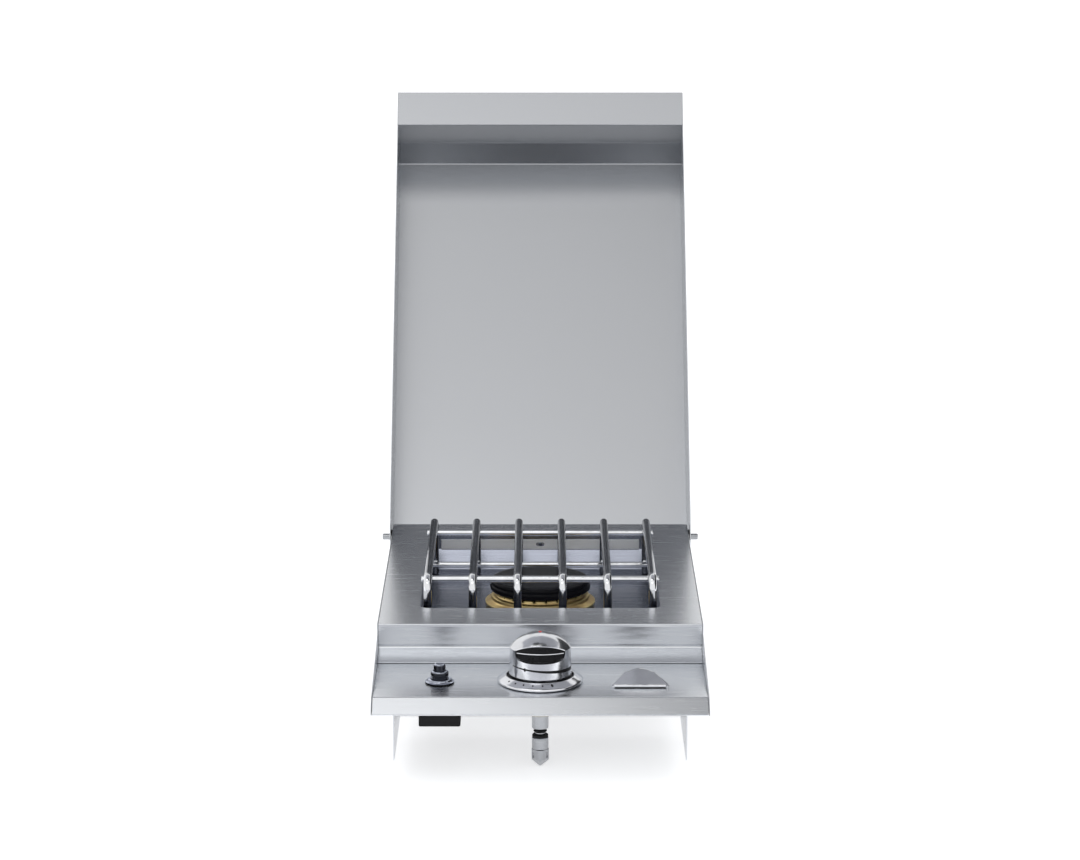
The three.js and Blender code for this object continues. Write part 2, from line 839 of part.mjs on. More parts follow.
function inletUnion() {
  return turned([
    [neckRadius + seam, unionEnd], [unionRadius - unionChamfer, unionEnd],
    [unionRadius, unionEnd + unionChamfer], [unionRadius, unionTop], [neckRadius + seam, unionTop],
  ], smallFacets).translate(0, knobY, 0);
}

const sealProfile = (radius, z0, z1) => [
  [neckRadius + seam, z0], [radius, z0], [radius, z1], [neckRadius + seam, z1],
];
const upperSeal = () =>
  turned(sealProfile(upperSealRadius, upperSealEnd, unionEnd - seam), smallFacets).translate(0, knobY, 0);
const lowerSeal = () =>
  turned(sealProfile(lowerSealRadius, lowerSealEnd, lowerSealTop), smallFacets).translate(0, knobY, 0);

function swivelNeck() {
  const ballTop = upperSealEnd - seam;
  const ballEnd = lowerSealTop + seam;
  return turned([
    [gasBore, collarEnd + neckInset], [neckRadius, collarEnd + neckInset], [neckRadius, ballEnd],
    [ballRadius, ballEnd], [ballRadius, ballTop], [neckRadius, ballTop],
    [neckRadius, unionEnd + neckInset], [gasBore, unionEnd + neckInset],
  ], smallFacets).translate(0, knobY, 0);
}

function inletCollar() {
  return turned(sealProfile(unionRadius, collarEnd, lowerSealEnd - seam), smallFacets).translate(0, knobY, 0);
}

// Nozzle with four spanner flats, a slot at each side and a four-sided point with a small flat.
function inletNozzle() {
  const point = nozzleEnd + nozzlePoint;
  const corner = nozzleFlats * Math.SQRT2;
  const square = (low, high, z0, z1) =>
    new THREE.CylinderGeometry(high, low, z1 - z0, squareFacets).rotateX(Math.PI / 2)
      .translate(0, 0, (z0 + z1) / 2);
  const shank = common(
    disc(nozzleRadius, nozzleEnd, nozzleTop),
    join(square(nozzleTip, corner, nozzleEnd, point), square(corner, corner, point, nozzleTop + overrun)),
  );
  const slot = (side) => block(
    ...span(side, nozzleFlats - slotInset, nozzleFlats - slotInset + slotWidth),
    -nozzleRadius, 0, point + slotWidth, point + slotWidth + slotRise,
  );
  return cut(shank, disc(gasBore, point, nozzleTop + overrun), slot(1), slot(-1)).translate(0, knobY, 0);
}

// Region in front of an arched wall, with a rounded bottom: the finger hollow and its grip.
function scoop(side, face, half, drop, top) {
  const steps = 12;
  const z = knobBottom + knobShoulder - knobLift;
  const arc = Array.from({ length: steps + 1 }, (_, i) => {
    const turn = Math.PI * (1 + i / steps);
    return [half * Math.cos(turn), z + drop * Math.sin(turn)];
  });
  const slab = alongY([...arc, [half, z + top], [-half, z + top]], -knobRadius - overrun, 0);
  const wall = disc(scoopArc, z - knobShoulder, z + knobShoulder, scoopFacets)
    .translate(0, scoopArc - face, 0);
  const front = cut(slab, wall);
  return side > 0 ? front : front.rotateZ(Math.PI);
}

// Domed knob, hollow below, with a hub for the stem.
function knob() {
  const shoulder = knobBottom + knobShoulder - knobLift;
  const domeRadius = (knobTopRadius ** 2 + knobCrown ** 2) / (2 * knobCrown);
  const half = Math.asin(knobTopRadius / domeRadius);
  const domeSteps = 6;
  const dome = Array.from({ length: domeSteps + 1 }, (_, i) => {
    const turn = half * (1 - i / domeSteps);
    const radius = i === domeSteps ? 0 : domeRadius * Math.sin(turn);
    return [radius, shoulder + knobCrown - domeRadius * (1 - Math.cos(turn))];
  });
  const ceiling = knobBottom + knobHollow;
  const profile = [
    [0, socketTop], [stemRadius + stemClear, socketTop], [stemRadius + stemClear, hubBottom],
    [hubRadius, hubBottom], [hubRadius, ceiling],
    [knobRadius - knobWall - stemClear, ceiling], [knobRadius - knobWall, knobBottom],
    [knobRadius, knobBottom], ...dome,
  ];
  const hollow = (side) => join(
    scoop(side, scoopFace, scoopHalf, scoopDrop, knobCrown),
    scoop(side, scoopFace - gripDepth, scoopHalf, scoopDrop, gripTop),
  );
  return cut(turned(profile), hollow(1), hollow(-1)).translate(0, knobY, 0);
}

// Textured insert in the back of the finger hollow, clear of the knob on all sides.
function knobGrip(side) {
  const grip = cut(
    scoop(side, scoopFace - gripDepth + seam, scoopHalf - seam, scoopDrop - seam, gripTop - seam),
    scoop(side, scoopFace, scoopHalf + overrun, knobShoulder, knobShoulder),
  );
  return grip.translate(0, knobY, 0);
}

function bezel() {
  const z = consoleHeight + seam;
  return turned([
    [bezelInner, z], [bezelFoot, z], [bezelRadius, z + bezelRim / 2], [bezelRadius - seam, z + bezelRim],
    [bezelInner + seam, z + bezelHeight], [bezelInner, z + bezelHeight - seam],
  ]).translate(0, knobY, 0);
}

function knobSeal() {
  const z = consoleHeight + seam;
  return ring(sealInner, sealRadius, z, z + sealHeight).translate(0, knobY, 0);
}

function stemSpring() {
  const radius = springRadius + springWire + seam;
  return spring(0, knobY, consoleHeight + seam, hubBottom - seam, radius, springWire);
}

// Igniter: button, coil spring, threaded barrel, ring nut and spark module.
const igniterPlace = (geometry) => geometry.translate(igniterX, igniterY, 0);
const barrelEnd = consoleHeight - barrelBottom;
const buttonTop = consoleHeight + barrelTop + buttonRise;

function igniterButton() {
  const bottom = buttonTop - buttonHeight;
  return igniterPlace(turned([
    [0, bottom], [buttonRadius, bottom], [buttonRadius, buttonTop - buttonDome],
    [buttonRadius - buttonDome, buttonTop - buttonDomeShare * buttonDome], [0, buttonTop],
  ], smallFacets));
}

function igniterBarrel() {
  const top = consoleHeight + barrelTop;
  return igniterPlace(turned([
    [0, barrelEnd], [barrelRadius, barrelEnd], [barrelRadius, top - sheet / 2],
    [barrelRadius - sheet / 2, top], [barrelBore, top], [barrelBore, barrelEnd + barrelFloor],
    [0, barrelEnd + barrelFloor],
  ], smallFacets));
}

function igniterRing() {
  const z = consoleHeight + seam;
  const inner = barrelRadius + seam;
  return igniterPlace(turned([
    [inner, z], [ringRadius, z], [ringRadius, z + ringStepShare * ringHeight],
    [ringTopRadius, z + ringHeight], [inner, z + ringHeight],
  ], smallFacets));
}

const igniterSpring = () => igniterPlace(spring(
  0, 0, barrelEnd + barrelFloor + seam, buttonTop - buttonHeight - seam, springRadius, springWire,
));

function sparkModule() {
  const [half, depth] = [moduleWidth / 2, moduleDepth / 2];
  const shape = roundedRectangle(-half, half, -depth, depth, moduleCorner);
  return igniterPlace(alongZ(shape, moduleTop - moduleHeight, moduleTop));
}

// Bare badge plate, tilted back on two studs.
function badgePlate() {
  const corner = badgeCornerShare * badgeLength;
  const shape = new THREE.Shape();
  shape.moveTo(-badgeBase, 0);
  shape.lineTo(badgeBase, 0);
  shape.quadraticCurveTo(badgeHalf, 0, badgeHalf, corner);
  shape.quadraticCurveTo(0, 2 * badgeLength - corner, -badgeHalf, corner);
  shape.quadraticCurveTo(-badgeHalf, 0, -badgeBase, 0);
  const foot = consoleHeight + seam;
  const tilt = radians(badgeTilt);
  const plate = extrude(shape, badgeThickness).rotateX(tilt)
    .translate(0, badgeThickness * Math.sin(tilt), foot);
  const rise = badgeStudSetback * Math.tan(tilt);
  const stud = (side) => disc(badgeStud, foot, foot + rise + badgeStud / 2, screwFacets)
    .translate(side * badgeStudX, badgeStudSetback + badgeStud, 0);
  return join(plate, stud(1), stud(-1)).translate(badgeX, frontEdge + badgeSetback, 0);
}

// Wire grate: bent rods standing on the pan floor, joined by cross rods at two levels.
function grate() {
  const foot = panFloor + seam;
  const axis = deckHeight + grateHeight - rodRadius;
  const front0 = burnerY - legSpan / 2;
  const rear0 = burnerY + legSpan / 2;
  const inside = rodRadius + crossRadius - weldBite;
  const rods = Array.from({ length: rodCount }, (_, i) => {
    const x = (rodSpan * i) / (rodCount - 1) - rodSpan / 2;
    const corners = [[x, front0, foot], [x, front0, axis], [x, rear0, axis], [x, rear0, foot]];
    return rod(bent(corners, rodBend), rodRadius);
  });
  const cross = (half, y, z) =>
    rod([new THREE.Vector3(-half, y, z), new THREE.Vector3(half, y, z)], crossRadius);
  return join(
    ...rods,
    cross(crossHalf, burnerY - crossSpan / 2, axis - inside),
    cross(crossHalf, burnerY + crossSpan / 2, axis - inside),
    cross(lowerCrossHalf, front0 + inside, panFloor + lowerCrossHeight),
    cross(lowerCrossHalf, rear0 - inside, panFloor + lowerCrossHeight),
  );
}

const lidTurn = radians(openAngle);

// How far the rear flange drops before its edge meets the rear wall of the open lid's body.
const stopHeight = (pinSetback + seam - Math.cos(lidTurn) * (lidSheet - rearWallBack)) / Math.sin(lidTurn);

// One folded sheet: rear flange, top panel, chamfer, front wall and handle lip.
function lidSheetMetal() {
  const line = [
    [-rearWallBack, stopHeight],
    [-rearWallBack, panelRear],
    [-panelReach, panelFront],
    [-lidReach - wallLean, panelFront - chamferDrop],
    [-lidReach, -skirtDrop],
    [-lidReach - lipLength, -skirtDrop - lipDip],
  ];
  return folded(line, -lidSheet, -lidHalf, lidHalf);
}

// Cheek: closes the side of the lid and carries it on the hinge pin.
function lidCheek(side) {
  const arcSteps = 8;
  const boss = Array.from({ length: arcSteps + 1 }, (_, i) => {
    const turn = radians(bossStart + ((bossEnd - bossStart) * i) / arcSteps);
    return [hingeBoss * Math.cos(turn), hingeBoss * Math.sin(turn)];
  });
  const plate = alongX([
    [-hingeCorner, -skirtDrop],
    ...boss,
    [-rearWallBack - seam, stopHeight],
    [-rearWallBack - seam, panelRear - seam],
    [-panelReach + seam, panelFront - seam],
    [-lidReach - wallLean + seam, panelFront - chamferDrop],
    [-lidReach + seam, -skirtDrop],
  ], ...span(side, lidHalf - lidSheet, lidHalf));
  return cut(plate, drillX(pinRadius + pinClear, 0, 0, lidHalf + overrun));
}

// Hinge pin, washer and nut at one side, turned about X.
function sideways(side, geometry) {
  return geometry.rotateY((side * Math.PI) / 2).translate(0, pinY, pinZ);
}

function hingePin(side) {
  const head = lidHalf + seam;
  return sideways(side, turned([
    [0, halfWidth - sheet - pinInside], [pinRadius, halfWidth - sheet - pinInside], [pinRadius, head],
    [pinHead, head], [pinHead, lidHalf + pinOverhang - sheet], [pinRadius, lidHalf + pinOverhang],
    [0, lidHalf + pinOverhang],
  ], smallFacets));
}

const hingeWasher = (side) => sideways(side, ring(
  pinRadius + seam, washerRadius, halfWidth + seam, lidHalf - lidSheet - seam, smallFacets,
));

function hingeNut(side) {
  const end = halfWidth - sheet - seam;
  return sideways(side, cut(
    disc(nutRadius, end - nutHeight, end, hexFacets),
    disc(pinRadius + seam, end - nutHeight - overrun, end + overrun),
  ));
}

function housing() {
  const group = new THREE.Group();
  group.add(
    piece('deck_sheet', deckSheet(), brushed),
    piece('console_sheet', consoleSheet(), brushed),
    piece('rear_wall', rearWall(), brushed),
    piece('front_bulkhead', frontBulkhead(), satin),
    piece('box_rear_panel', boxRearPanel(), satin),
    piece('box_bottom', boxBottom(), satin),
    piece('burner_pan', burnerPan(), brushed),
    piece('pan_strip', panStrip(), brushed),
    piece('strip_screw', stripScrew(), satin),
    piece('badge_plate', badgePlate(), chrome),
  );
  for (const [side, word] of [[-1, 'left'], [1, 'right']]) {
    group.add(
      piece(`${word}_side_wall`, sideWall(side), brushed),
      piece(`${word}_box_plate`, boxPlate(side), brushed),
      piece(`${word}_hinge_pin`, hingePin(side), chrome),
      piece(`${word}_hinge_washer`, hingeWasher(side), blackPlastic),
      piece(`${word}_hinge_nut`, hingeNut(side), satin),
      piece(`${word}_valve_screw`, valveScrews(side), satin),
    );
  }
  return group;
}

function burner() {
  const group = new THREE.Group();
  group.add(
    piece('burner_base', burnerBase(), brass),
    piece('burner_cap', burnerCap(), enamel),
    piece('mixing_tube', mixingTube(), aluminium),
    piece('air_shutter', airShutter(), satin),
    piece('tube_bracket', tubeBracket(), satin),
    piece('spark_ceramic', sparkCeramic(), ceramic),
    piece('spark_tip', sparkTip(), satin),
    piece('ignition_lead', ignitionLead(), lead),
    piece('grate', grate(), chrome),
  );
  return group;
}

function gasTrain() {
  const group = new THREE.Group();
  group.add(
    piece('valve_body', valveBody(), brass),
    piece('valve_rotor', valveRotor(), brass),
    piece('valve_stem', valveStem(), satin),
    piece('stem_spring', stemSpring(), satin),
    piece('injector', injector(), brass),
    piece('inlet_union', inletUnion(), chrome),
    piece('upper_seal', upperSeal(), rubber),
    piece('swivel_neck', swivelNeck(), chrome),
    piece('lower_seal', lowerSeal(), rubber),
    piece('inlet_collar', inletCollar(), chrome),
    piece('inlet_nozzle', inletNozzle(), chrome),
  );
  return group;
}

function controls() {
  const group = new THREE.Group();
  group.add(
    piece('knob', knob(), chrome),
    piece('knob_front_grip', knobGrip(1), blackPlastic),
    piece('knob_rear_grip', knobGrip(-1), blackPlastic),
    piece('knob_bezel', bezel(), chrome),
    piece('knob_seal', knobSeal(), blackPlastic),
    piece('igniter_button', igniterButton(), chrome),
    piece('igniter_barrel', igniterBarrel(), chrome),
    piece('igniter_ring', igniterRing(), chrome),
    piece('igniter_spring', igniterSpring(), satin),
    piece('spark_module', sparkModule(), blackPlastic),
  );
  return group;
}

// The lid stands open: its closed shape is turned back about the hinge pins.
function lid() {
  const group = new THREE.Group();
  group.add(
    piece('lid_sheet', lidSheetMetal(), brushed),
    piece('left_lid_cheek', lidCheek(-1), brushed),
    piece('right_lid_cheek', lidCheek(1), brushed),
  );
  group.position.set(0, pinY, pinZ);
  group.rotation.x = -lidTurn;
  return group;
}

const sideBurner = new THREE.Group();
sideBurner.add(housing(), burner(), gasTrain(), controls(), lid());

export default sideBurner;
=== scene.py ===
"""Built in side burner: the looks of a drop-in gas burner with a long sheet lid, shown open."""
from contextlib import contextmanager
import json
import math

import bmesh
import bpy
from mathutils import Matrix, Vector


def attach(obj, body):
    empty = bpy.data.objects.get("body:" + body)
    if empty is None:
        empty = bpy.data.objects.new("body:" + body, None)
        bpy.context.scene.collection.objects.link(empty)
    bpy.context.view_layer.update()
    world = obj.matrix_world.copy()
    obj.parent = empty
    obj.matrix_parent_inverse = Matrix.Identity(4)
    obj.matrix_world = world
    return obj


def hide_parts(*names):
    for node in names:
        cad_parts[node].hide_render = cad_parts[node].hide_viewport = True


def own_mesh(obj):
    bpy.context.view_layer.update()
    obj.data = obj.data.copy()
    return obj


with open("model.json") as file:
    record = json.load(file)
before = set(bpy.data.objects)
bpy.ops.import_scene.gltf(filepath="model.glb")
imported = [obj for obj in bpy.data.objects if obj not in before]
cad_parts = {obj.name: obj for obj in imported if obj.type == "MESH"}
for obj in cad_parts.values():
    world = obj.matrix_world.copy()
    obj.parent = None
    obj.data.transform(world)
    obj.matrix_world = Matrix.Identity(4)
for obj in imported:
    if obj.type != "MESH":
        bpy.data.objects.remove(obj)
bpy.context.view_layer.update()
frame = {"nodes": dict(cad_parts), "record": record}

bl_info = {
    "name": "Built in side burner",
    "version": (1, 0, 0),
    "blender": (4, 5, 0),
    "location": "3D View > Sidebar > Side burner",
    "description": "Models and finishes a drop-in gas side burner around its packed solids",
    "category": "Object",
}

MM = 0.001
MERGE = 0.005 * MM
FINISHES = {}

# Sizes and places of the main pieces, in millimetres, as in the solids
SHEET = 1.2
LID_SHEET = 1.0
DECK_HEIGHT = 50.5
DECK_FRONT = 141.5
DECK_REAR = 557.5
DECK_HALF = 164.5
CONSOLE_HEIGHT = 14.0
OPENING_HALF = 124.4
OPENING_FRONT = 202.4
OPENING_REAR = 526.2
OPENING_CORNER = 9.0
BURNER = (0.0, 364.3, 0.0)
KNOB = (0.0, 62.3, 0.0)
KNOB_BOTTOM = 23.5
KNOB_SHOULDER = 50.0
KNOB_TOP = 65.0
IGNITER = (-100.0, 57.5, 0.0)
HINGE = (0.0, 531.5, 42.8)
LID_ANGLE = math.radians(-127.36)
LID_HALF = 169.0


# Modelling tools

def begin():
    """Leaves edit mode and deselects everything."""
    if bpy.context.mode != "OBJECT":
        bpy.ops.object.mode_set(mode="OBJECT")
    bpy.ops.object.select_all(action="DESELECT")


def hold(piece):
    """Makes one object the selected and active one."""
    begin()
    piece.select_set(True)
    bpy.context.view_layer.objects.active = piece


@contextmanager
def editing(piece):
    """Edit mode on one piece."""
    hold(piece)
    bpy.ops.object.mode_set(mode="EDIT")
    yield
    bpy.ops.object.mode_set(mode="OBJECT")


def pick(piece, kind, test):
    """In edit mode, selects the verts, edges or faces that pass a test."""
    mode = {"verts": "VERT", "edges": "EDGE", "faces": "FACE"}[kind]
    bpy.ops.mesh.select_mode(type=mode)
    bpy.ops.mesh.select_all(action="DESELECT")
    shape = bmesh.from_edit_mesh(piece.data)
    for element in getattr(shape, kind):
        if test(element):
            element.select_set(True)
    shape.select_flush_mode()
    bmesh.update_edit_mesh(piece.data)


def mend():
    """In edit mode, merges points that coincide and turns all faces outward."""
    bpy.ops.mesh.select_all(action="SELECT")
    bpy.ops.mesh.remove_doubles(threshold=MERGE)
    bpy.ops.mesh.normals_make_consistent(inside=False)


def settle(piece):
    """Puts the piece's place, turn and size in its mesh."""
    hold(piece)
    bpy.ops.object.transform_apply(location=True, rotation=True, scale=True)
    return piece


def put(piece, place=(0, 0, 0), turn=(0, 0, 0)):
    """Turns a piece about the origin, moves it to a place in millimetres, and settles it."""
    piece.rotation_euler = turn
    piece.location = Vector(place) * MM
    return settle(piece)


def modify(piece, kind, **values):
    """Adds a modifier with its values and applies it."""
    hold(piece)
    modifier = piece.modifiers.new(kind.lower(), kind)
    for name, value in values.items():
        setattr(modifier, name, value)
    bpy.ops.object.modifier_apply(modifier=modifier.name)
    return piece


def carve(piece, cutter, operation="DIFFERENCE"):
    """Cuts, joins or crosses a piece with another, which is used up."""
    modify(piece, "BOOLEAN", object=cutter, operation=operation, solver="EXACT")
    bpy.data.objects.remove(cutter)
    return piece


def round_edges(piece, width, segments=2, angle=30):
    """Rounds the edges that are sharper than an angle."""
    return modify(
        piece, "BEVEL", width=width * MM, segments=segments, limit_method="ANGLE",
        angle_limit=math.radians(angle), use_clamp_overlap=True)


def copy_of(piece, shift=(0, 0, 0)):
    """A moved copy with its own mesh."""
    hold(piece)
    bpy.ops.object.duplicate()
    return put(bpy.context.object, shift)


def join(pieces):
    """One object of several."""
    begin()
    for piece in pieces:
        piece.select_set(True)
    bpy.context.view_layer.objects.active = pieces[0]
    bpy.ops.object.join()
    return bpy.context.object


def lathe(profile, facets=64, closed=False):
    """A profile of radius and height in millimetres, turned about Z at the origin."""
    least = 0.001
    begin()
    radius, height = max(profile[0][0], least), profile[0][1]
    bpy.ops.mesh.primitive_circle_add(
        vertices=facets, radius=radius * MM, fill_type="NOTHING", location=(0, 0, height * MM))
    piece = settle(bpy.context.object)
    with editing(piece):
        bpy.ops.mesh.select_mode(type="EDGE")
        bpy.ops.mesh.select_all(action="SELECT")
        for r, z in profile[1:] + (profile[:1] if closed else []):
            r = max(r, least)
            bpy.ops.mesh.extrude_edges_move(TRANSFORM_OT_translate={"value": (0, 0, (z - height) * MM)})
            if r != radius:
                size = r / radius
                bpy.ops.transform.resize(value=(size, size, 1), center_override=(0, 0, z * MM))
            radius, height = r, z
        mend()
    return piece


def block(x0, x1, y0, y1, z0, z1):
    """A box between two corners, ready to be shaped."""
    begin()
    centre = Vector((x0 + x1, y0 + y1, z0 + z1)) * MM / 2
    size = Vector((x1 - x0, y1 - y0, z1 - z0)) * MM
    bpy.ops.mesh.primitive_cube_add(size=1, location=centre, scale=size)
    return settle(bpy.context.object)


def rod(radius, start, end, facets=24):
    """A straight round bar between two points, in millimetres."""
    begin()
    a, b = Vector(start) * MM, Vector(end) * MM
    bpy.ops.mesh.primitive_cylinder_add(
        vertices=facets, radius=radius * MM, depth=(b - a).length, location=(a + b) / 2)
    piece = bpy.context.object
    piece.rotation_mode = "QUATERNION"
    piece.rotation_quaternion = (b - a).to_track_quat("Z", "Y")
    return settle(piece)


def folded_sheet(line, half, thickness, fold):
    """A sheet bent along a line of y and z, with rounded folds, thickened to the line's left."""
    begin()
    (y0, z0), (y1, z1) = line[:2]
    middle = Vector((0, y0 + y1, z0 + z1)) * MM / 2
    bpy.ops.mesh.primitive_plane_add(size=1, location=middle)
    piece = bpy.context.object
    piece.rotation_euler = (math.atan2(z1 - z0, y1 - y0), 0, 0)
    piece.scale = (2 * half * MM, math.hypot(y1 - y0, z1 - z0) * MM, 1)
    settle(piece)
    end = Vector((0, y1, z1)) * MM
    near = MM / 10
    with editing(piece):
        pick(piece, "verts", lambda v: (v.co - end).yz.length < near)
        for (ya, za), (yb, zb) in zip(line[1:], line[2:]):
            bpy.ops.mesh.extrude_edges_move(
                TRANSFORM_OT_translate={"value": (0, (yb - ya) * MM, (zb - za) * MM)})
        pick(piece, "edges", lambda e: not e.is_boundary)
        bpy.ops.mesh.bevel(offset=fold * MM, segments=5, affect="EDGES")
        mend()
    left = Vector((0, z0 - z1, y1 - y0))
    first = min(piece.data.polygons, key=lambda f: (f.center - middle).length)
    side = 1 if first.normal.dot(left) * thickness > 0 else -1
    return modify(piece, "SOLIDIFY", thickness=abs(thickness) * MM, offset=side, use_even_offset=True)


def softened(node, width=0.35, segments=2, angle=30):
    """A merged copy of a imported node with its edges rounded."""
    begin()
    piece = frame["nodes"][node].copy()
    piece.data = piece.data.copy()
    for key in list(piece.keys()):
        del piece[key]
    piece.parent = None
    bpy.context.scene.collection.objects.link(piece)
    with editing(piece):
        bpy.ops.mesh.select_all(action="SELECT")
        bpy.ops.mesh.remove_doubles(threshold=MM / 50)
        bpy.ops.mesh.dissolve_limited(angle_limit=math.radians(1))
    return round_edges(piece, width, segments, angle)


def dress(piece, name, body, finish, stands_for=(), smooth=35):
    """Names, shades and finishes a piece, and lets it ride on its body in place of its nodes."""
    settle(piece)
    bpy.ops.object.shade_smooth_by_angle(angle=math.radians(smooth))
    modify(piece, "WEIGHTED_NORMAL", mode="FACE_AREA", weight=100, keep_sharp=True)
    piece.name = piece.data.name = name
    piece.data.materials.clear()
    piece.data.materials.append(FINISHES[finish])
    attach(piece, body)
    if stands_for:
        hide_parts(*stands_for)
    return piece


# Materials

# The range that most of a noise's values lie in
NOISE = (0.3, 0.7)


class Finish:
    """A node material in the making. Scales are in waves per metre."""

    def __init__(self, name, **sockets):
        self.material = bpy.data.materials.new(name)
        self.material.use_nodes = True
        self.tree = self.material.node_tree
        self.shader = self.tree.nodes["Principled BSDF"]
        self.place = self.tree.nodes.new("ShaderNodeTexCoord").outputs["Object"]
        for socket, value in sockets.items():
            self.shader.inputs[socket.replace("_", " ")].default_value = value
        FINISHES[name] = self.material

    def node(self, kind, inputs=(), **settings):
        """A node with its settings, its inputs given by name as values or links."""
        made = self.tree.nodes.new(kind)
        for name, value in settings.items():
            setattr(made, name, value)
        for name, value in dict(inputs).items():
            if isinstance(value, bpy.types.NodeSocket):
                self.tree.links.new(value, made.inputs[name])
            else:
                made.inputs[name].default_value = value
        return made

    def set(self, socket, value):
        """Links a value to one of the shader's sockets."""
        self.tree.links.new(value, self.shader.inputs[socket])

    def at(self, scale=(1, 1, 1), location=(0, 0, 0)):
        """Object coordinates, moved and stretched."""
        return self.node("ShaderNodeMapping", {
            "Vector": self.place, "Scale": scale, "Location": location}).outputs["Vector"]

    def axes(self, vector=None):
        """The X, Y and Z of a vector, or of the place."""
        return self.node("ShaderNodeSeparateXYZ", {"Vector": vector or self.place}).outputs

    def noise(self, vector=None, scale=1.0, detail=3.0, rough=0.5):
        return self.node("ShaderNodeTexNoise", {
            "Vector": vector or self.at(), "Scale": scale, "Detail": detail, "Roughness": rough,
        }).outputs["Fac"]

    def cells(self, scale, **settings):
        return self.node("ShaderNodeTexVoronoi", {"Vector": self.at(), "Scale": scale}, **settings).outputs

    def span(self, value, low, high, to_low=0.0, to_high=1.0):
        """Maps a value from one range to another."""
        return self.node("ShaderNodeMapRange", {
            "Value": value, "From Min": low, "From Max": high,
            "To Min": to_low, "To Max": to_high}).outputs["Result"]

    def calc(self, a, b, operation="ADD"):
        """A sum, or another operation on two values."""
        return self.node("ShaderNodeMath", {0: a, 1: b}, operation=operation).outputs["Value"]

    def blend(self, factor, low, high):
        """A colour between two."""
        return self.node("ShaderNodeMix", {
            "Factor": factor, 6: low, 7: high}, data_type="RGBA").outputs[2]

    def tint(self, value, low, high, start, end):
        """A colour that goes from one to another as a value crosses a range."""
        return self.blend(self.span(value, low, high), start, end)

    def bump(self, height, distance, strength=1.0, below=None):
        """A bump, on top of another one if given. Distance in metres."""
        inputs = {"Height": height, "Distance": distance, "Strength": strength}
        if below:
            inputs["Normal"] = below
        return self.node("ShaderNodeBump", inputs).outputs["Normal"]


def shade(color, by):
    """A colour made lighter or darker."""
    return (*(min(1.0, c * by) for c in color[:3]), 1.0)


def brushed_finish(name, color, rough, grain, wave=1.0, contrast=1.0, wavy=None, metal=1.0):
    """Brushed stainless sheet: grain along an axis, faint clouds, and waves, in a height band if given."""
    finish = Finish(name, Metallic=metal)

    def along(across, lengthwise):
        scale = [across] * 3
        scale["XYZ".index(grain)] = lengthwise
        return finish.at(scale)

    streak = finish.noise(along(420.0, 7.0), detail=5.0, rough=0.7)
    hair = finish.noise(along(2600.0, 35.0), detail=2.0)
    cloud = finish.noise(finish.at((5.0, 5.0, 5.0)), detail=2.0)
    swell = finish.noise(along(110.0, 22.0), detail=1.0, rough=0.4)
    mix = finish.calc(finish.span(streak, *NOISE, 0.0, 0.6), finish.span(cloud, 0.35, 0.65, 0.0, 0.4))
    finish.set("Base Color", finish.blend(
        mix, shade(color, 1 - 0.04 * contrast), shade(color, 1 + 0.03 * contrast)))
    if wavy:
        (low, high), fade, calm = wavy, 0.002, 0.01
        height = finish.axes()["Z"]
        low_end = finish.span(height, low, low + fade, calm, 1.0)
        high_end = finish.span(height, high - fade, high, 1.0, calm)
        swell = finish.calc(swell, finish.calc(low_end, high_end, "MULTIPLY"), "MULTIPLY")
    uneven = 0.012 * min(1.0, contrast)
    grainy = finish.calc(*(finish.span(fine, *NOISE, -uneven, uneven) for fine in (streak, hair)))
    finish.set("Roughness", finish.calc(grainy, rough))
    scratch = 0.000005 * contrast
    relief = finish.bump(swell, 0.00025 * wave, 0.5)
    relief = finish.bump(streak, scratch, 0.4, relief)
    finish.set("Normal", finish.bump(hair, scratch, 0.5, relief))


def chrome_finish(name, color, rough, haze=0.04, grain=None, painted_highlight=None, top=None):
    """Polished plate: rubbing marks, smudges and ripple; if given, a painted highlight on front bends and
    painted light on tops.
    """
    finish = Finish(name, Metallic=1.0)
    rub = [1400.0, 1400.0, 1400.0]
    if grain:
        rub["XYZ".index(grain)] = 60.0
    marks = finish.noise(finish.at(rub))
    smudge = finish.noise(scale=60.0)
    ripple = finish.noise(scale=130.0, detail=1.0)
    tone = finish.tint(smudge, 0.35, 0.65, shade(color, 0.93), shade(color, 1.04))
    # Painted highlight: the front top corner of the bends gets a lighter colour, standing in for the light
    # the bends catch.
    if painted_highlight:
        bright, reach, rise = painted_highlight
        place = finish.axes()
        highlight_mask = finish.calc(
            finish.span(place["Y"], reach, reach + 0.01, 1.0, 0.0),
            finish.span(place["Z"], rise - 0.012, rise), "MULTIPLY")
        tone = finish.blend(highlight_mask, tone, bright)
    # Painted light: faces that point up get a lighter colour, standing in for the bright sky they reflect.
    if top:
        normal = finish.node("ShaderNodeNewGeometry").outputs["Normal"]
        tone = finish.tint(finish.axes(normal)["Z"], 0.25, 0.85, tone, top)
    finish.set("Base Color", tone)
    finish.set("Roughness", finish.calc(
        finish.span(smudge, 0.4, 0.7, rough, rough + haze), finish.span(marks, 0.4, 0.7, 0.0, haze / 2)))
    relief = finish.bump(ripple, 0.0004, 0.25)
    finish.set("Normal", finish.bump(marks, 0.00002, 0.4, relief))


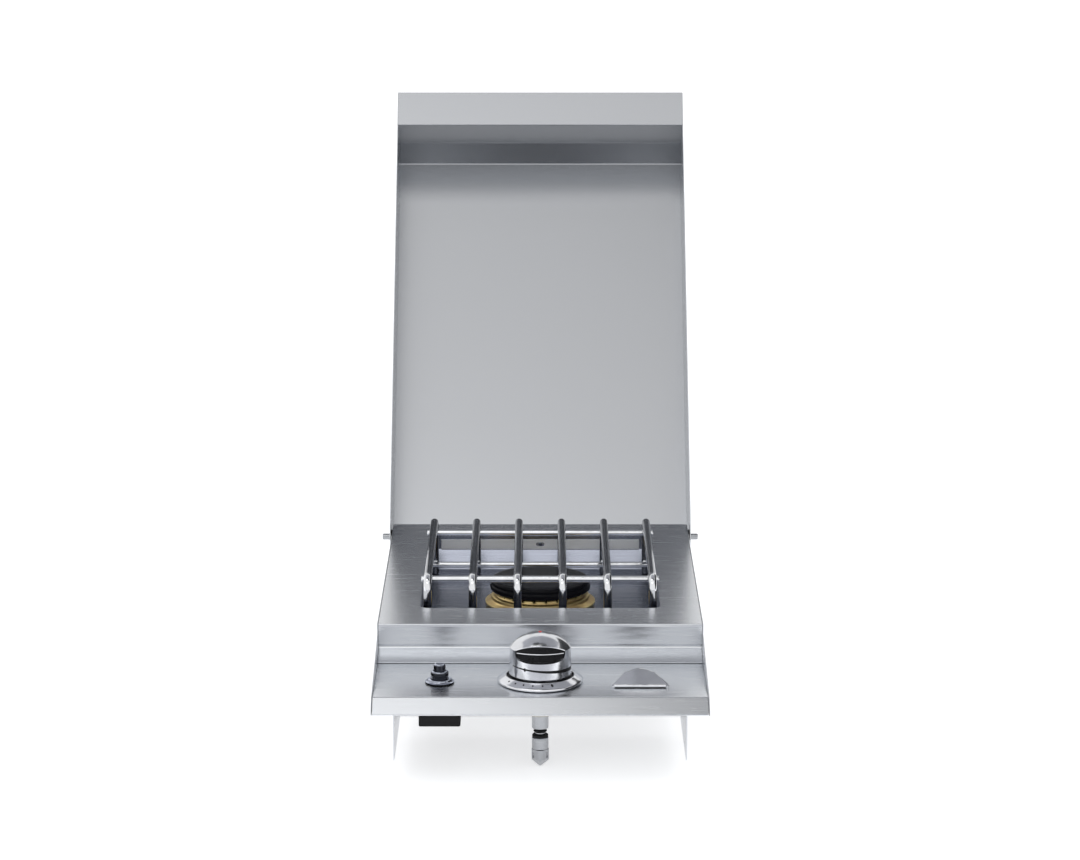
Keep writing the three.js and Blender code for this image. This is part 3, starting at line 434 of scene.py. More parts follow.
def turned_brass_finish(name, color, centre):
    """Lathe-turned brass: rings about the burner, dark bloom in patches, and edges worn bright."""
    finish = Finish(name, Metallic=1.0)
    local = finish.at(location=tuple(Vector(centre) * -MM))
    flat = finish.node("ShaderNodeVectorMath", {0: local, 1: (1, 1, 0)}, operation="MULTIPLY")
    radius = finish.node("ShaderNodeVectorMath", {0: flat.outputs["Vector"]}, operation="LENGTH")
    track = finish.node("ShaderNodeCombineXYZ", {
        "X": radius.outputs["Value"], "Z": finish.axes()["Z"]}).outputs["Vector"]
    rings = finish.noise(track, scale=1500.0, detail=2.0)
    bloom = finish.noise(scale=45.0, detail=4.0, rough=0.6)
    tone = finish.tint(bloom, 0.35, 0.7, shade(color, 1.1), shade(color, 0.72))
    edge = finish.node("ShaderNodeNewGeometry").outputs["Pointiness"]
    worn = finish.calc(finish.span(edge, 0.5, 0.6), 0.6, "MULTIPLY")
    finish.set("Base Color", finish.blend(worn, tone, shade(color, 1.5)))
    finish.set("Roughness", finish.span(bloom, *NOISE, 0.3, 0.48))
    relief = finish.bump(rings, 0.00006, 0.7)
    finish.set("Normal", finish.bump(bloom, 0.0004, 0.2, relief))


def enamel_finish(name, color):
    """Black vitreous enamel on a casting: orange peel, pin marks and a slightly uneven skin."""
    finish = Finish(name, IOR=1.2, Specular_IOR_Level=0.35)
    peel = finish.noise(scale=420.0, detail=2.0)
    cast = finish.noise(scale=90.0)
    specks = finish.cells(900.0)["Distance"]
    finish.set("Base Color", finish.tint(specks, 0.0, 0.12, shade(color, 2.4), color))
    finish.set("Roughness", finish.span(cast, *NOISE, 0.14, 0.26))
    relief = finish.bump(cast, 0.0009, 0.35)
    finish.set("Normal", finish.bump(peel, 0.00018, 0.5, relief))


def moulded_finish(name, color, rough, pit=1.0):
    """Moulded plastic or rubber: spark-eroded grain and dust."""
    finish = Finish(name, IOR=1.3)
    grain = finish.cells(1300.0)["Distance"]
    dust = finish.noise(scale=260.0, detail=5.0, rough=0.7)
    finish.set("Base Color", finish.tint(dust, 0.4, 0.75, shade(color, 0.85), shade(color, 1.7)))
    finish.set("Roughness", finish.span(dust, *NOISE, rough - 0.06, rough + 0.08))
    finish.set("Normal", finish.bump(grain, 0.00016 * pit, 0.7))


def zinc_finish(name, color):
    """Galvanised sheet: spangles of slightly different tone and shine."""
    finish = Finish(name, Metallic=1.0)
    spangle = finish.cells(75.0)["Color"]
    tint = finish.node("ShaderNodeSeparateColor", {"Color": spangle}).outputs["Red"]
    frost = finish.noise(scale=700.0)
    finish.set("Base Color", finish.blend(tint, shade(color, 0.82), shade(color, 1.12)))
    finish.set("Roughness", finish.calc(
        finish.span(tint, 0.0, 1.0, 0.34, 0.5), finish.span(frost, *NOISE, -0.04, 0.04)))
    finish.set("Normal", finish.bump(frost, 0.00006, 0.5))


def cast_finish(name, color):
    """Sand-cast aluminium: grainy skin with small pits."""
    finish = Finish(name, Metallic=1.0)
    sand = finish.noise(scale=950.0, detail=6.0, rough=0.7)
    pits = finish.cells(380.0)["Distance"]
    finish.set("Base Color", finish.tint(sand, *NOISE, shade(color, 0.8), shade(color, 1.1)))
    finish.set("Roughness", finish.span(sand, *NOISE, 0.42, 0.6))
    relief = finish.bump(pits, 0.0003, 0.4)
    finish.set("Normal", finish.bump(sand, 0.00035, 0.7, relief))


def ceramic_finish(name, color, line):
    """Glazed ceramic: warm clouds and fine darker crazing."""
    finish = Finish(name, IOR=1.52, Coat_Weight=0.7, Coat_Roughness=0.08)
    crack = finish.cells(420.0, feature="DISTANCE_TO_EDGE")["Distance"]
    cloud = finish.noise(scale=150.0)
    tone = finish.tint(cloud, *NOISE, color, shade(color, 0.84))
    finish.set("Base Color", finish.blend(finish.span(crack, 0.0, 0.03, 0.5, 0.0), tone, line))
    finish.set("Roughness", finish.span(cloud, *NOISE, 0.24, 0.4))
    finish.set("Normal", finish.bump(crack, 0.00005, 0.4))


# Settings that a user would change

class SheetSettings(bpy.types.PropertyGroup):
    """Sizes and colours of the sheet steel."""
    fold: bpy.props.FloatProperty(
        name="Fold", description="Set-back of the rounded folds", default=0.0011, unit="LENGTH")
    color: bpy.props.FloatVectorProperty(
        name="Steel", description="Colour of the brushed steel", size=4, subtype="COLOR",
        default=(0.6, 0.615, 0.64, 1.0))
    rough: bpy.props.FloatProperty(
        name="Brushing", description="Roughness of the brushed steel", default=0.26, subtype="FACTOR")


class GrateSettings(bpy.types.PropertyGroup):
    """Sizes and colours of the wire grate."""
    weld: bpy.props.FloatProperty(
        name="Weld", description="Height of the weld beads", default=0.0016, unit="LENGTH")
    # The long bars are darker than the cross bars, though the grate is one chrome: painted shade for the
    # dark surroundings they reflect.
    bar_color: bpy.props.FloatVectorProperty(
        name="Bars", description="Colour of the long bars", size=4, subtype="COLOR",
        default=(0.19, 0.2, 0.225, 1.0))
    cross_color: bpy.props.FloatVectorProperty(
        name="Cross bars", description="Colour of the cross bars", size=4, subtype="COLOR",
        default=(0.78, 0.79, 0.81, 1.0))


class BurnerSettings(bpy.types.PropertyGroup):
    """Colours of the burner."""
    brass: bpy.props.FloatVectorProperty(
        name="Brass", description="Colour of the burner ring", size=4, subtype="COLOR",
        default=(1.0, 0.7, 0.32, 1.0))
    enamel: bpy.props.FloatVectorProperty(
        name="Enamel", description="Colour of the burner cap", size=4, subtype="COLOR",
        default=(0.008, 0.008, 0.01, 1.0))


class KnobSettings(bpy.types.PropertyGroup):
    """Sizes and colours of the knob and its bezel."""
    groove: bpy.props.FloatProperty(
        name="Groove", description="Height of the groove at its right end", default=0.0036, unit="LENGTH")
    rib: bpy.props.FloatProperty(
        name="Rib", description="How far the finger rib stands out", default=0.0013, unit="LENGTH")
    chrome: bpy.props.FloatVectorProperty(
        name="Chrome", description="Colour of the chrome", size=4, subtype="COLOR",
        default=(0.74, 0.75, 0.78, 1.0))


class StageSettings(bpy.types.PropertyGroup):
    """Floor and lamps."""
    floor_height: bpy.props.FloatProperty(
        name="Floor", description="Height of the floor", default=-0.0746, unit="LENGTH")
    key_power: bpy.props.FloatProperty(
        name="Key lamp", description="Power of the key lamp, which the ledge lamp follows",
        default=13.0, unit="POWER")
    fill: bpy.props.FloatProperty(
        name="Fill", description="Strength of the light from all round", default=0.9)


# Operators, one for each group of pieces

class SIDEBURNER_OT_finishes(bpy.types.Operator):
    """Makes the materials"""
    bl_idname = "sideburner.finishes"
    bl_label = "Finishes"

    def execute(self, context):
        sheet, grate = context.scene.sideburner_sheet, context.scene.sideburner_grate
        burner, knob = context.scene.sideburner_burner, context.scene.sideburner_knob
        steel, rough = sheet.color, sheet.rough
        riser = (0.027, 0.0495)
        # The across, deck and lid sheets are one steel, made lighter or darker to match how each is lit:
        # painted light and shade. The pan's darker, bluer tone is partly painted shade of the well.
        brushed_finish("brushed_across", shade(steel, 1.2), rough, "X", wave=0.1)
        brushed_finish("brushed_deck", shade(steel, 1.12), rough, "X", wave=5.0, wavy=riser)
        brushed_finish("brushed_lid", shade(steel, 0.73), rough, "X", wave=0.05, contrast=0.25)
        brushed_finish("brushed_along", steel, rough, "Y")
        brushed_finish("brushed_pan", (0.34, 0.36, 0.42), rough, "X", wave=1.5, contrast=2.5)
        brushed_finish("strip_coat", (0.92, 0.92, 0.91), 0.3, "X", wave=0.1, metal=0.4)
        # Painted highlight on the grate's front bends, in the cross bars' colour.
        bend_highlight = (grate.cross_color, 0.243, 0.056)
        chrome_finish("chrome", knob.chrome, 0.1)
        chrome_finish("knob_chrome", knob.chrome, 0.15)
        chrome_finish("chrome_bars", grate.bar_color, 0.07, grain="Y", painted_highlight=bend_highlight)
        chrome_finish("chrome_cross", grate.cross_color, 0.07, grain="X")
        # Black chrome with painted light on its upward faces.
        chrome_finish("black_chrome", (0.035, 0.037, 0.045), 0.04, haze=0.02, top=(0.5, 0.53, 0.62, 1.0))
        chrome_finish("satin_steel", (0.4, 0.41, 0.43), 0.2, haze=0.1)
        chrome_finish("nickel", (0.42, 0.41, 0.39), 0.2, haze=0.1)
        turned_brass_finish("brass", burner.brass, BURNER)
        enamel_finish("enamel", burner.enamel)
        moulded_finish("black_plastic", (0.008, 0.008, 0.009), 0.42)
        moulded_finish("grip", (0.007, 0.007, 0.009), 0.3, pit=2.5)
        moulded_finish("rubber", (0.018, 0.018, 0.018), 0.6)
        moulded_finish("lead_cover", (0.3, 0.04, 0.03), 0.45)
        moulded_finish("red_inlay", (0.6, 0.03, 0.03), 0.3)
        zinc_finish("zinc", (0.5, 0.51, 0.53))
        cast_finish("cast_aluminium", (0.58, 0.59, 0.6))
        ceramic_finish("ceramic", (0.82, 0.79, 0.72, 1.0), (0.3, 0.24, 0.18, 1.0))
        return {"FINISHED"}


class SIDEBURNER_OT_body(bpy.types.Operator):
    """Models the deck, console, walls, box plates and burner pan"""
    bl_idname = "sideburner.body"
    bl_label = "Body"

    def execute(self, context):
        fold = context.scene.sideburner_sheet.fold / MM
        self.deck(fold)
        self.console(fold)
        for node in ("left_side_wall", "right_side_wall", "left_box_plate", "right_box_plate"):
            dress(softened(node), f"{node}_folded", "housing", "brushed_along", [node])
        for node, name, width, finish in (
                ("rear_wall", "rear_wall_folded", 0.35, "brushed_across"),
                ("burner_pan", "pan_pressing", 0.6, "brushed_pan"),
                ("pan_strip", "pan_strip_slotted", 0.2, "strip_coat")):
            dress(softened(node, width), name, "housing", finish, [node])
        self.strip_screw()
        return {"FINISHED"}

    def deck(self, fold):
        """Deck with its riser and ledge, and the burner's opening with rounded corners."""
        riser_foot, ledge_front = (143.5, 25.3), (123.5, 15.5)
        deck = folded_sheet([
            (DECK_REAR, DECK_HEIGHT), (DECK_FRONT, DECK_HEIGHT), riser_foot, ledge_front,
        ], DECK_HALF, SHEET, fold)
        opening = block(-OPENING_HALF, OPENING_HALF, OPENING_FRONT, OPENING_REAR, 40, 60)
        with editing(opening):
            pick(opening, "edges", lambda e: abs(e.verts[0].co.z - e.verts[1].co.z) > MM)
            bpy.ops.mesh.bevel(offset=OPENING_CORNER * MM, segments=10, affect="EDGES")
        carve(deck, opening)
        round_edges(deck, 0.3, angle=50)
        dress(deck, "deck_top", "housing", "brushed_deck", ["deck_sheet"])

    def console(self, fold):
        """Console with its sloping lip and return flange, and the holes for the controls."""
        console_rear, lip_top, flange = 137.5, 7.7, 10
        console = folded_sheet([
            (console_rear, CONSOLE_HEIGHT), (lip_top, CONSOLE_HEIGHT), (-flange, 0), (flange, 0),
        ], DECK_HALF, SHEET, fold)
        stem_hole, screw_hole, barrel_hole, screw_x = 4.6, 2.2, 9.4, 20
        for radius, shift, (x, y, _) in (
                (stem_hole, 0, KNOB), (screw_hole, screw_x, KNOB), (screw_hole, -screw_x, KNOB),
                (barrel_hole, 0, IGNITER)):
            carve(console, rod(radius, (x + shift, y, 8), (x + shift, y, 20), 32))
        round_edges(console, 0.25, angle=50)
        dress(console, "console_top", "housing", "brushed_across", ["console_sheet"])

    def strip_screw(self):
        """Screw in the strip's slot, with a hexagon socket."""
        screw = lathe([(0, 0), (1.9, 0), (1.9, 0.9), (1.5, 1.3), (0, 1.3)], 32)
        begin()
        bpy.ops.mesh.primitive_cylinder_add(
            vertices=6, radius=0.9 * MM, depth=2 * MM, location=(0, 0, 1.5 * MM))
        carve(screw, settle(bpy.context.object))
        put(screw, (0, 524.9, 35.6), (math.pi / 2, 0, 0))
        dress(screw, "strip_screw_head", "housing", "black_chrome", ["strip_screw"])


class SIDEBURNER_OT_lid(bpy.types.Operator):
    """Models the lid with its lip, its cheeks and the hinge"""
    bl_idname = "sideburner.lid"
    bl_label = "Lid"

    def execute(self, context):
        fold = context.scene.sideburner_sheet.fold / MM
        # The shut lid from the hinge: rear flange, top, chamfer, front wall and lip
        shut = [(-3.6, 31.1), (-3.6, 70), (-514, 63.4), (-526, 33.4), (-519.6, -20.9), (-561.8, -24.8)]
        across, rise = math.cos(LID_ANGLE), math.sin(LID_ANGLE)
        line = [(HINGE[1] + y * across - z * rise, HINGE[2] + y * rise + z * across) for y, z in shut]
        lid = folded_sheet(line, LID_HALF, -LID_SHEET, fold)
        round_edges(lid, 0.25, angle=50)
        dress(lid, "lid_pressing", "lid", "brushed_lid", ["lid_sheet"])
        for node in ("left_lid_cheek", "right_lid_cheek"):
            dress(softened(node, 0.3), f"{node}_plate", "lid", "brushed_along", [node])
        self.hinge(-1, "left")
        self.hinge(1, "right")
        return {"FINISHED"}

    def hinge(self, side, word):
        """Pin with a chamfered head and a centre mark, and its washer."""
        end = LID_HALF + 8.3
        pin = lathe([
            (0, 152.8), (2.6, 152.8), (3, 153.2), (3, 169.3), (3.5, 169.3), (3.5, end - 1.2),
            (3.1, end - 0.3), (2.6, end), (0.9, end), (0.6, end - 0.5), (0, end - 0.6),
        ], 40)
        washer = lathe([
            (3.3, 166.3), (7.6, 166.3), (8, 166.6), (8, 167.4), (7.6, 167.7), (3.3, 167.7),
        ], 40, True)
        for piece, name, slot, finish in (
                (pin, "hinge_pin", "chrome", "satin_steel"),
                (washer, "hinge_washer", "black_plastic", "black_plastic")):
            put(piece, HINGE, (0, side * math.pi / 2, 0))
            dress(piece, f"{word}_{name}_turned", "housing", finish, [f"{word}_{name}"])


class SIDEBURNER_OT_grate(bpy.types.Operator):
    """Models the bent bars, the cross bars and their welds"""
    bl_idname = "sideburner.grate"
    bl_label = "Grate"

    def execute(self, context):
        weld = context.scene.sideburner_grate.weld / MM
        count, pitch = 6, 46.9
        places = [pitch * (i - (count - 1) / 2) for i in range(count)]
        bar = self.bar()
        bars = join([copy_of(bar, (x, 0, 0)) for x in places])
        bpy.data.objects.remove(bar)
        dress(bars, "grate_bars", "grate", "chrome_bars", ["grate"])
        high, low = 64.45, 22.3
        rails = [(124.8, 265.8, high), (124.8, 462.8, high), (121, 243.4, low), (121, 485.2, low)]
        crosses = [
            round_edges(rod(3.45, (-half, y, z), (half, y, z), 32), 1.3, 4) for half, y, z in rails]
        dress(join(crosses), "grate_cross_bars", "grate", "chrome_cross")
        beads = []
        for x in places:
            beads += [self.bead((x, y, high + 3.35), (5.4, 4.6, weld)) for y in (265.8, 462.8)]
            beads += [self.bead((x, y, low), (4.9, weld, 4.2)) for y in (239.9, 488.7)]
        dress(join(beads), "grate_welds", "grate", "chrome_cross")
        return {"FINISHED"}

    def bar(self):
        """One bar: up from the pan, over and down again, its feet rounded."""
        radius, bend = 4.25, 12.0
        foot, top, front, rear = 10.3, 71.75, 236.1, 492.5
        begin()
        bpy.ops.mesh.primitive_circle_add(
            vertices=28, radius=radius * MM, fill_type="NGON", location=(0, front * MM, foot * MM))
        piece = settle(bpy.context.object)
        rise = (0, 0, (top - bend - foot) * MM)
        run = (0, (rear - front - 2 * bend) * MM, 0)
        with editing(piece):
            bpy.ops.mesh.select_mode(type="FACE")
            bpy.ops.mesh.select_all(action="SELECT")
            for move, centre in ((rise, front + bend), (run, rear - bend)):
                bpy.ops.mesh.extrude_region_move(TRANSFORM_OT_translate={"value": move})
                bpy.ops.mesh.spin(
                    steps=10, angle=math.pi / 2, center=(0, centre * MM, (top - bend) * MM), axis=(1, 0, 0))
            bpy.ops.mesh.extrude_region_move(TRANSFORM_OT_translate={"value": (0, 0, -rise[2])})
            mend()
        return round_edges(piece, 0.8, 3, 60)

    def bead(self, place, size):
        """A weld bead: a low round mound."""
        begin()
        bpy.ops.mesh.primitive_ico_sphere_add(subdivisions=2, radius=1)
        bead = bpy.context.object
        bead.scale = Vector(size) * MM
        return put(bead, place)


class SIDEBURNER_OT_burner(bpy.types.Operator):
    """Models the brass burner ring and its black cap"""
    bl_idname = "sideburner.burner"
    bl_label = "Burner"

    def execute(self, context):
        ring = lathe([
            (13, 10.3), (52, 10.3), (57.6, 12.6), (59.2, 13.7), (59.2, 15.2), (57.4, 16.2), (54.2, 17.2),
            (53, 18.4), (52.6, 21.1), (51.2, 22.1), (49.2, 22.7), (48.2, 24.2), (48, 25.4), (46.6, 26.8),
            (45.2, 27.2), (40.8, 27.2), (39.8, 16.2), (14, 16.2), (13, 15.2),
        ], 96, True)
        ports = 24
        slots = [
            put(block(39, 54, -1, 1, 24, 30), turn=(0, 0, math.tau * (i + 0.5) / ports))
            for i in range(ports)]
        carve(ring, join(slots))
        round_edges(ring, 0.35, 2, 40)
        dress(put(ring, BURNER), "burner_ring", "housing", "brass", ["burner_base"])

        cap = lathe([
            (0, 31), (36.4, 31), (36.4, 22), (38.8, 22), (38.8, 28), (52.2, 28), (53.6, 28.6), (54.2, 29.8),
            (54.3, 31.8), (54.0, 33.4), (53.1, 34.2), (52.6, 34.8), (53.0, 35.5), (53.2, 36.6), (52.9, 37.9),
            (52.0, 39.0), (50.4, 39.7), (47, 40.0), (40, 40.3), (20, 40.7), (0, 40.8),
        ], 96)
        round_edges(cap, 0.4, 2, 50)
        put(cap, BURNER)
        dress(cap, "burner_cap_enamelled", "burner_cap", "enamel", ["burner_cap"], smooth=40)
        return {"FINISHED"}


class SIDEBURNER_OT_knob(bpy.types.Operator):
    """Models the knob with its finger hollows, grips, groove and mark, and the bezel with its dots"""
    bl_idname = "sideburner.knob"
    bl_label = "Knob"

    # The crown's radius and rise
    crown, rise = 30.2, 15.0
    # A hollow's arched wall: its radius and how far it stands in front of the knob's axis
    arc, face = 46.0, 23.8
    # A hollow's outline: half its width, its depth under the shoulder and how square its corners are
    half_width, drop, square = 24.7, 10.2, 3.8

    def execute(self, context):
        settings = context.scene.sideburner_knob
        knob = lathe([
            (0, 45.3), (4.3, 45.3), (4.3, 27), (8, 27), (8, 37), (28.4, 37), (28.7, KNOB_BOTTOM),
            (31.3, KNOB_BOTTOM), *self.dome(),
        ], 128)
        for turn in (0, math.pi):
            carve(knob, self.hollow(self.face, turn))
            carve(knob, carve(self.hollow(self.face - 2, turn), self.dome_core(0.8), "INTERSECT"))
        groove = self.groove(settings.groove / MM)
        inlay = copy_of(groove)
        carve(knob, groove)
        round_edges(knob, 0.4, 3, 40)
        dress(put(knob, KNOB), "knob_domed", "knob", "knob_chrome", ["knob"])
        carve(inlay, rod(30.55, (0, 0, 10), (0, 0, 45), 128), "INTERSECT")
        dress(put(inlay, KNOB), "knob_groove_inlay", "knob", "black_plastic")
        for turn, word in ((0, "front"), (math.pi, "rear")):
            self.grip(settings.rib / MM, turn, word)
        self.marks()
        self.bezel()
        return {"FINISHED"}

    def dome(self, lower=0.0):
        """Profile of the knob's crown, from its shoulder to its middle, lowered if asked."""
        sphere = (self.crown ** 2 + self.rise ** 2) / (2 * self.rise)
        steps = 14
        spread = math.asin(self.crown / sphere)
        turns = [spread * (1 - i / steps) for i in range(steps + 1)]
        return [
            (sphere * math.sin(turn), KNOB_TOP - lower - sphere * (1 - math.cos(turn))) for turn in turns]

    def dome_core(self, lower):
        """Solid under the crown, to trim what lies in the hollows."""
        return lathe([(0, 0), (self.crown, 0), *self.dome(lower)], 128)

    def slab(self, half, drop):
        """Outline of a finger hollow, run from the knob's middle out past its front."""
        depth, above, level = 40, 30, KNOB_SHOULDER * MM
        begin()
        bpy.ops.mesh.primitive_cylinder_add(vertices=64, radius=1, depth=depth * MM)
        piece = put(bpy.context.object, turn=(math.pi / 2, 0, 0))
        piece.scale = (half * MM, 1, drop * MM)
        put(piece, (0, -depth / 2, KNOB_SHOULDER))
        with editing(piece):
            pick(piece, "verts", lambda v: v.co.z > level + MM / 100)
            bpy.ops.transform.resize(value=(1, 1, 0), center_override=(0, 0, level))
            bpy.ops.transform.translate(value=(0, 0, above * MM))
            shape = bmesh.from_edit_mesh(piece.data)
            for vertex in shape.verts:
                if vertex.co.z < level:
                    aside = min(1.0, abs(vertex.co.x) / (half * MM))
                    vertex.co.z = level - drop * MM * (1 - aside ** self.square) ** (1 / self.square)
            bmesh.update_edit_mesh(piece.data)
        return piece

    def hollow(self, face, turn):
        """Cutter for a finger hollow: the slab in front of an arched wall."""
        cutter = self.slab(self.half_width, self.drop)
        middle = self.arc - face
        carve(cutter, rod(self.arc, (0, middle, 0), (0, middle, 100), 192))
        return put(cutter, turn=(0, 0, turn))

    def grip(self, rib, turn, word):
        """Dark insert in the hollow, ribbed across, with a chrome bar near the shoulder as a painted
        highlight on its ridge.
        """
        arc, back = self.arc, 44.5
        low, high, level = KNOB_SHOULDER - self.drop, KNOB_SHOULDER + 5.2, KNOB_SHOULDER - 2.6
        pitch, width, out = 1.1, 0.7, 0.4
        profile = [(back, low)]
        for i in range(math.ceil((high - width - low) / pitch)):
            z = low + pitch * i
            profile += [(arc, z), (arc + out, z + width / 2), (arc, z + width)]
        ribbed = lathe([*profile, (arc, high), (back, high)], 256, True)
        # The bar is chrome so that it shows as the bright line along the ridge: a painted highlight.
        bar = lathe([
            (arc - 0.3, level), (arc + 0.7 * rib, level + 0.1), (arc + rib, level + 0.5),
            (arc + rib, level + 1.0), (arc + 0.7 * rib, level + 1.4), (arc - 0.3, level + 1.5),
        ], 256, True)
        grip = f"knob_{word}_grip"
        for part, inset, name, slot, finish, nodes in (
                (ribbed, 0.3, f"{grip}_ribbed", "black_plastic", "grip", [grip]),
                (bar, 1.4, f"{grip}_bar", "chrome", "chrome", [])):
            put(part, (0, arc - self.face, 0))
            carve(part, self.slab(self.half_width - inset, self.drop - inset), "INTERSECT")
            carve(part, self.dome_core(1.0), "INTERSECT")
            put(part, KNOB, (0, 0, turn))
            dress(part, name, "knob", finish, nodes, smooth=50)

    def groove(self, height):
        """Cutter for the groove that starts at the left of the front, and deepens and drops to the right."""
        bottom, start, lean, run = 32.7, 1.6, 0.055, 45
        cutter = rod(40, (0, 0, bottom), (0, 0, bottom + start), 128)
        thicken = (height - start) / run
        with editing(cutter):
            for side, slope in ((1, lean), (-1, lean + thicken)):
                pick(cutter, "faces", lambda f: side * f.normal.z > 0.9)
                shape = bmesh.from_edit_mesh(cutter.data)
                for vertex in shape.verts:
                    if vertex.select:
                        vertex.co.z -= slope * (vertex.co.x + 15 * MM)
                bmesh.update_edit_mesh(cutter.data)
        return carve(cutter, rod(29.6, (-1.9, 1.5, 0), (-1.9, 1.5, 80), 128))

    def spot(self, size, radius, height, turn, slope=0.0, segments=16):
        """A flat round mark, set at a radius and turned about the knob's axis."""
        begin()
        bpy.ops.mesh.primitive_uv_sphere_add(segments=segments, ring_count=segments // 2, radius=1)
        mark = bpy.context.object
        mark.scale = Vector(size) * MM
        return put(mark, (radius * math.sin(turn), -radius * math.cos(turn), height), (slope, 0, turn))

    def marks(self):
        """Index mark on the knob's wall and the small red inlay on its crown."""
        mark = self.spot((1.25, 0.35, 1.9), 30.95, 33.2, math.radians(-29.6), segments=24)
        dress(put(mark, KNOB), "knob_index_mark", "knob", "black_plastic")
        inlay = lathe([(0, 64.6), (1.5, 64.6), (1.5, 65.0), (1.2, 65.15), (0, 65.2)], 24)
        inlay.scale = (1.0, 1.6, 1.0)
        dress(put(inlay, KNOB), "knob_red_inlay", "knob", "red_inlay")

    def bezel(self):
        """Cone under the knob with a rolled rim, its dots and the larger mark, and the seal inside."""
        ring = lathe([
            (33.4, 14.3), (40.4, 14.3), (41.9, 14.6), (42.7, 15.4), (42.8, 16.2), (42.4, 17.0), (41.6, 17.6),
            (40.4, 18.3), (35.0, 21.3), (34.3, 21.6), (33.7, 21.5), (33.4, 21.2),
        ], 128, True)
        put(ring, KNOB)
        dress(ring, "knob_bezel_turned", "housing", "chrome", ["knob_bezel"], smooth=40)
        slope = math.atan2(3.0, 5.4)
        count, first, step = 6, -55.4, 14.75
        dot, larger = (0.85, 1.1, 0.25), (1.25, 2.1, 0.3)
        sizes = [dot] * (count - 1) + [larger]
        dots = join([
            self.spot(size, 37.6, 19.9, math.radians(first + step * i), slope)
            for i, size in enumerate(sizes)])
        dress(put(dots, KNOB), "bezel_marks", "housing", "black_plastic")
        seal = lathe([
            (24.5, 14.3), (32.8, 14.3), (32.8, 19.2), (32.1, 20), (25.2, 20), (24.5, 19.4)], 96, True)
        put(seal, KNOB)
        dress(seal, "knob_seal_ring", "housing", "black_plastic", ["knob_seal"])


class SIDEBURNER_OT_igniter(bpy.types.Operator):
    """Models the igniter's ring, threaded barrel and button"""
    bl_idname = "sideburner.igniter"
    bl_label = "Igniter"

    def execute(self, context):
        thread = [(9, 18.9)]
        for i in range(3):
            z = 19.4 + 1.1 * i
            thread += [(9, z), (8.5, z + 0.35), (9, z + 0.7)]
        barrel = lathe([
            (0, -2), (9, -2), *thread, (9, 24.2), (8.7, 25.4), (7.9, 26.3), (6.9, 26.5), (6.4, 26.2),
            (6.4, 2), (0, 2)])
        ring = lathe([
            (9.3, 14.3), (13.8, 14.3), (14.6, 14.9), (14.5, 15.7), (13.4, 16.3), (12.5, 17.0), (12.1, 18.0),
            (11.2, 18.5), (9.3, 18.5)], closed=True)
        button = lathe([
            (0, 20), (5.8, 20), (6, 20.3), (6, 31.6), (5.7, 32.6), (4.9, 33.2), (3.4, 33.35), (0, 33.5)])
        for piece, name, body, node in (
                (barrel, "igniter_barrel_threaded", "housing", "igniter_barrel"),
                (ring, "igniter_ring_turned", "housing", "igniter_ring"),
                (button, "igniter_button_capped", "igniter_button", "igniter_button")):
            dress(put(piece, IGNITER), name, body, "black_chrome", [node], smooth=45)
        return {"FINISHED"}


class SIDEBURNER_OT_badge(bpy.types.Operator):
    """Models the bare badge plate, crowned, with its front bar and a dark strip under it as painted shadow
    """
    bl_idname = "sideburner.badge"
    bl_label = "Badge plate"

    def execute(self, context):
        plate = softened("badge_plate", 0.5, 3)
        corners = [vertex.co / MM for vertex in plate.data.vertices]
        left, right = min(c.x for c in corners) + 2.2, max(c.x for c in corners) - 2.2
        front, foot = min(c.y for c in corners) + 1.5, min(c.z for c in corners) + 1.9
        carve(plate, self.crown(plate), "INTERSECT")
        dress(plate, "badge_plate_bare", "housing", "chrome", ["badge_plate"])
        bar = rod(1.65, (left, front, foot), (right, front, foot), 32)
        dress(round_edges(bar, 1.3, 5), "badge_front_bar", "housing", "chrome")
        # A dark strip under the front bar: painted shadow of the gap beneath it.
        shadow_strip = block(left + 1, right - 1, front - 1.2, front + 1.5, CONSOLE_HEIGHT + 0.15, foot - 1.0)
        dress(round_edges(shadow_strip, 0.2), "badge_seat_strip", "housing", "rubber")
        return {"FINISHED"}

    def crown(self, plate):
        """Domed cutter that crowns the plate's sloping face."""
        face = max((f for f in plate.data.polygons if f.normal.z > 0.3), key=lambda f: f.area)
        dome, reach, steps = 190.0, 42.0, 28
        radii = [reach * (1 - i / steps) for i in range(steps + 1)]
        cap = [(r, math.sqrt(dome ** 2 - r ** 2) - dome) for r in radii]
        cutter = lathe([(0, -12), (reach, -12), *cap], 160)
        cutter.rotation_mode = "QUATERNION"
        cutter.rotation_quaternion = face.normal.to_track_quat("Z", "Y")
        cutter.location = face.center
        return settle(cutter)


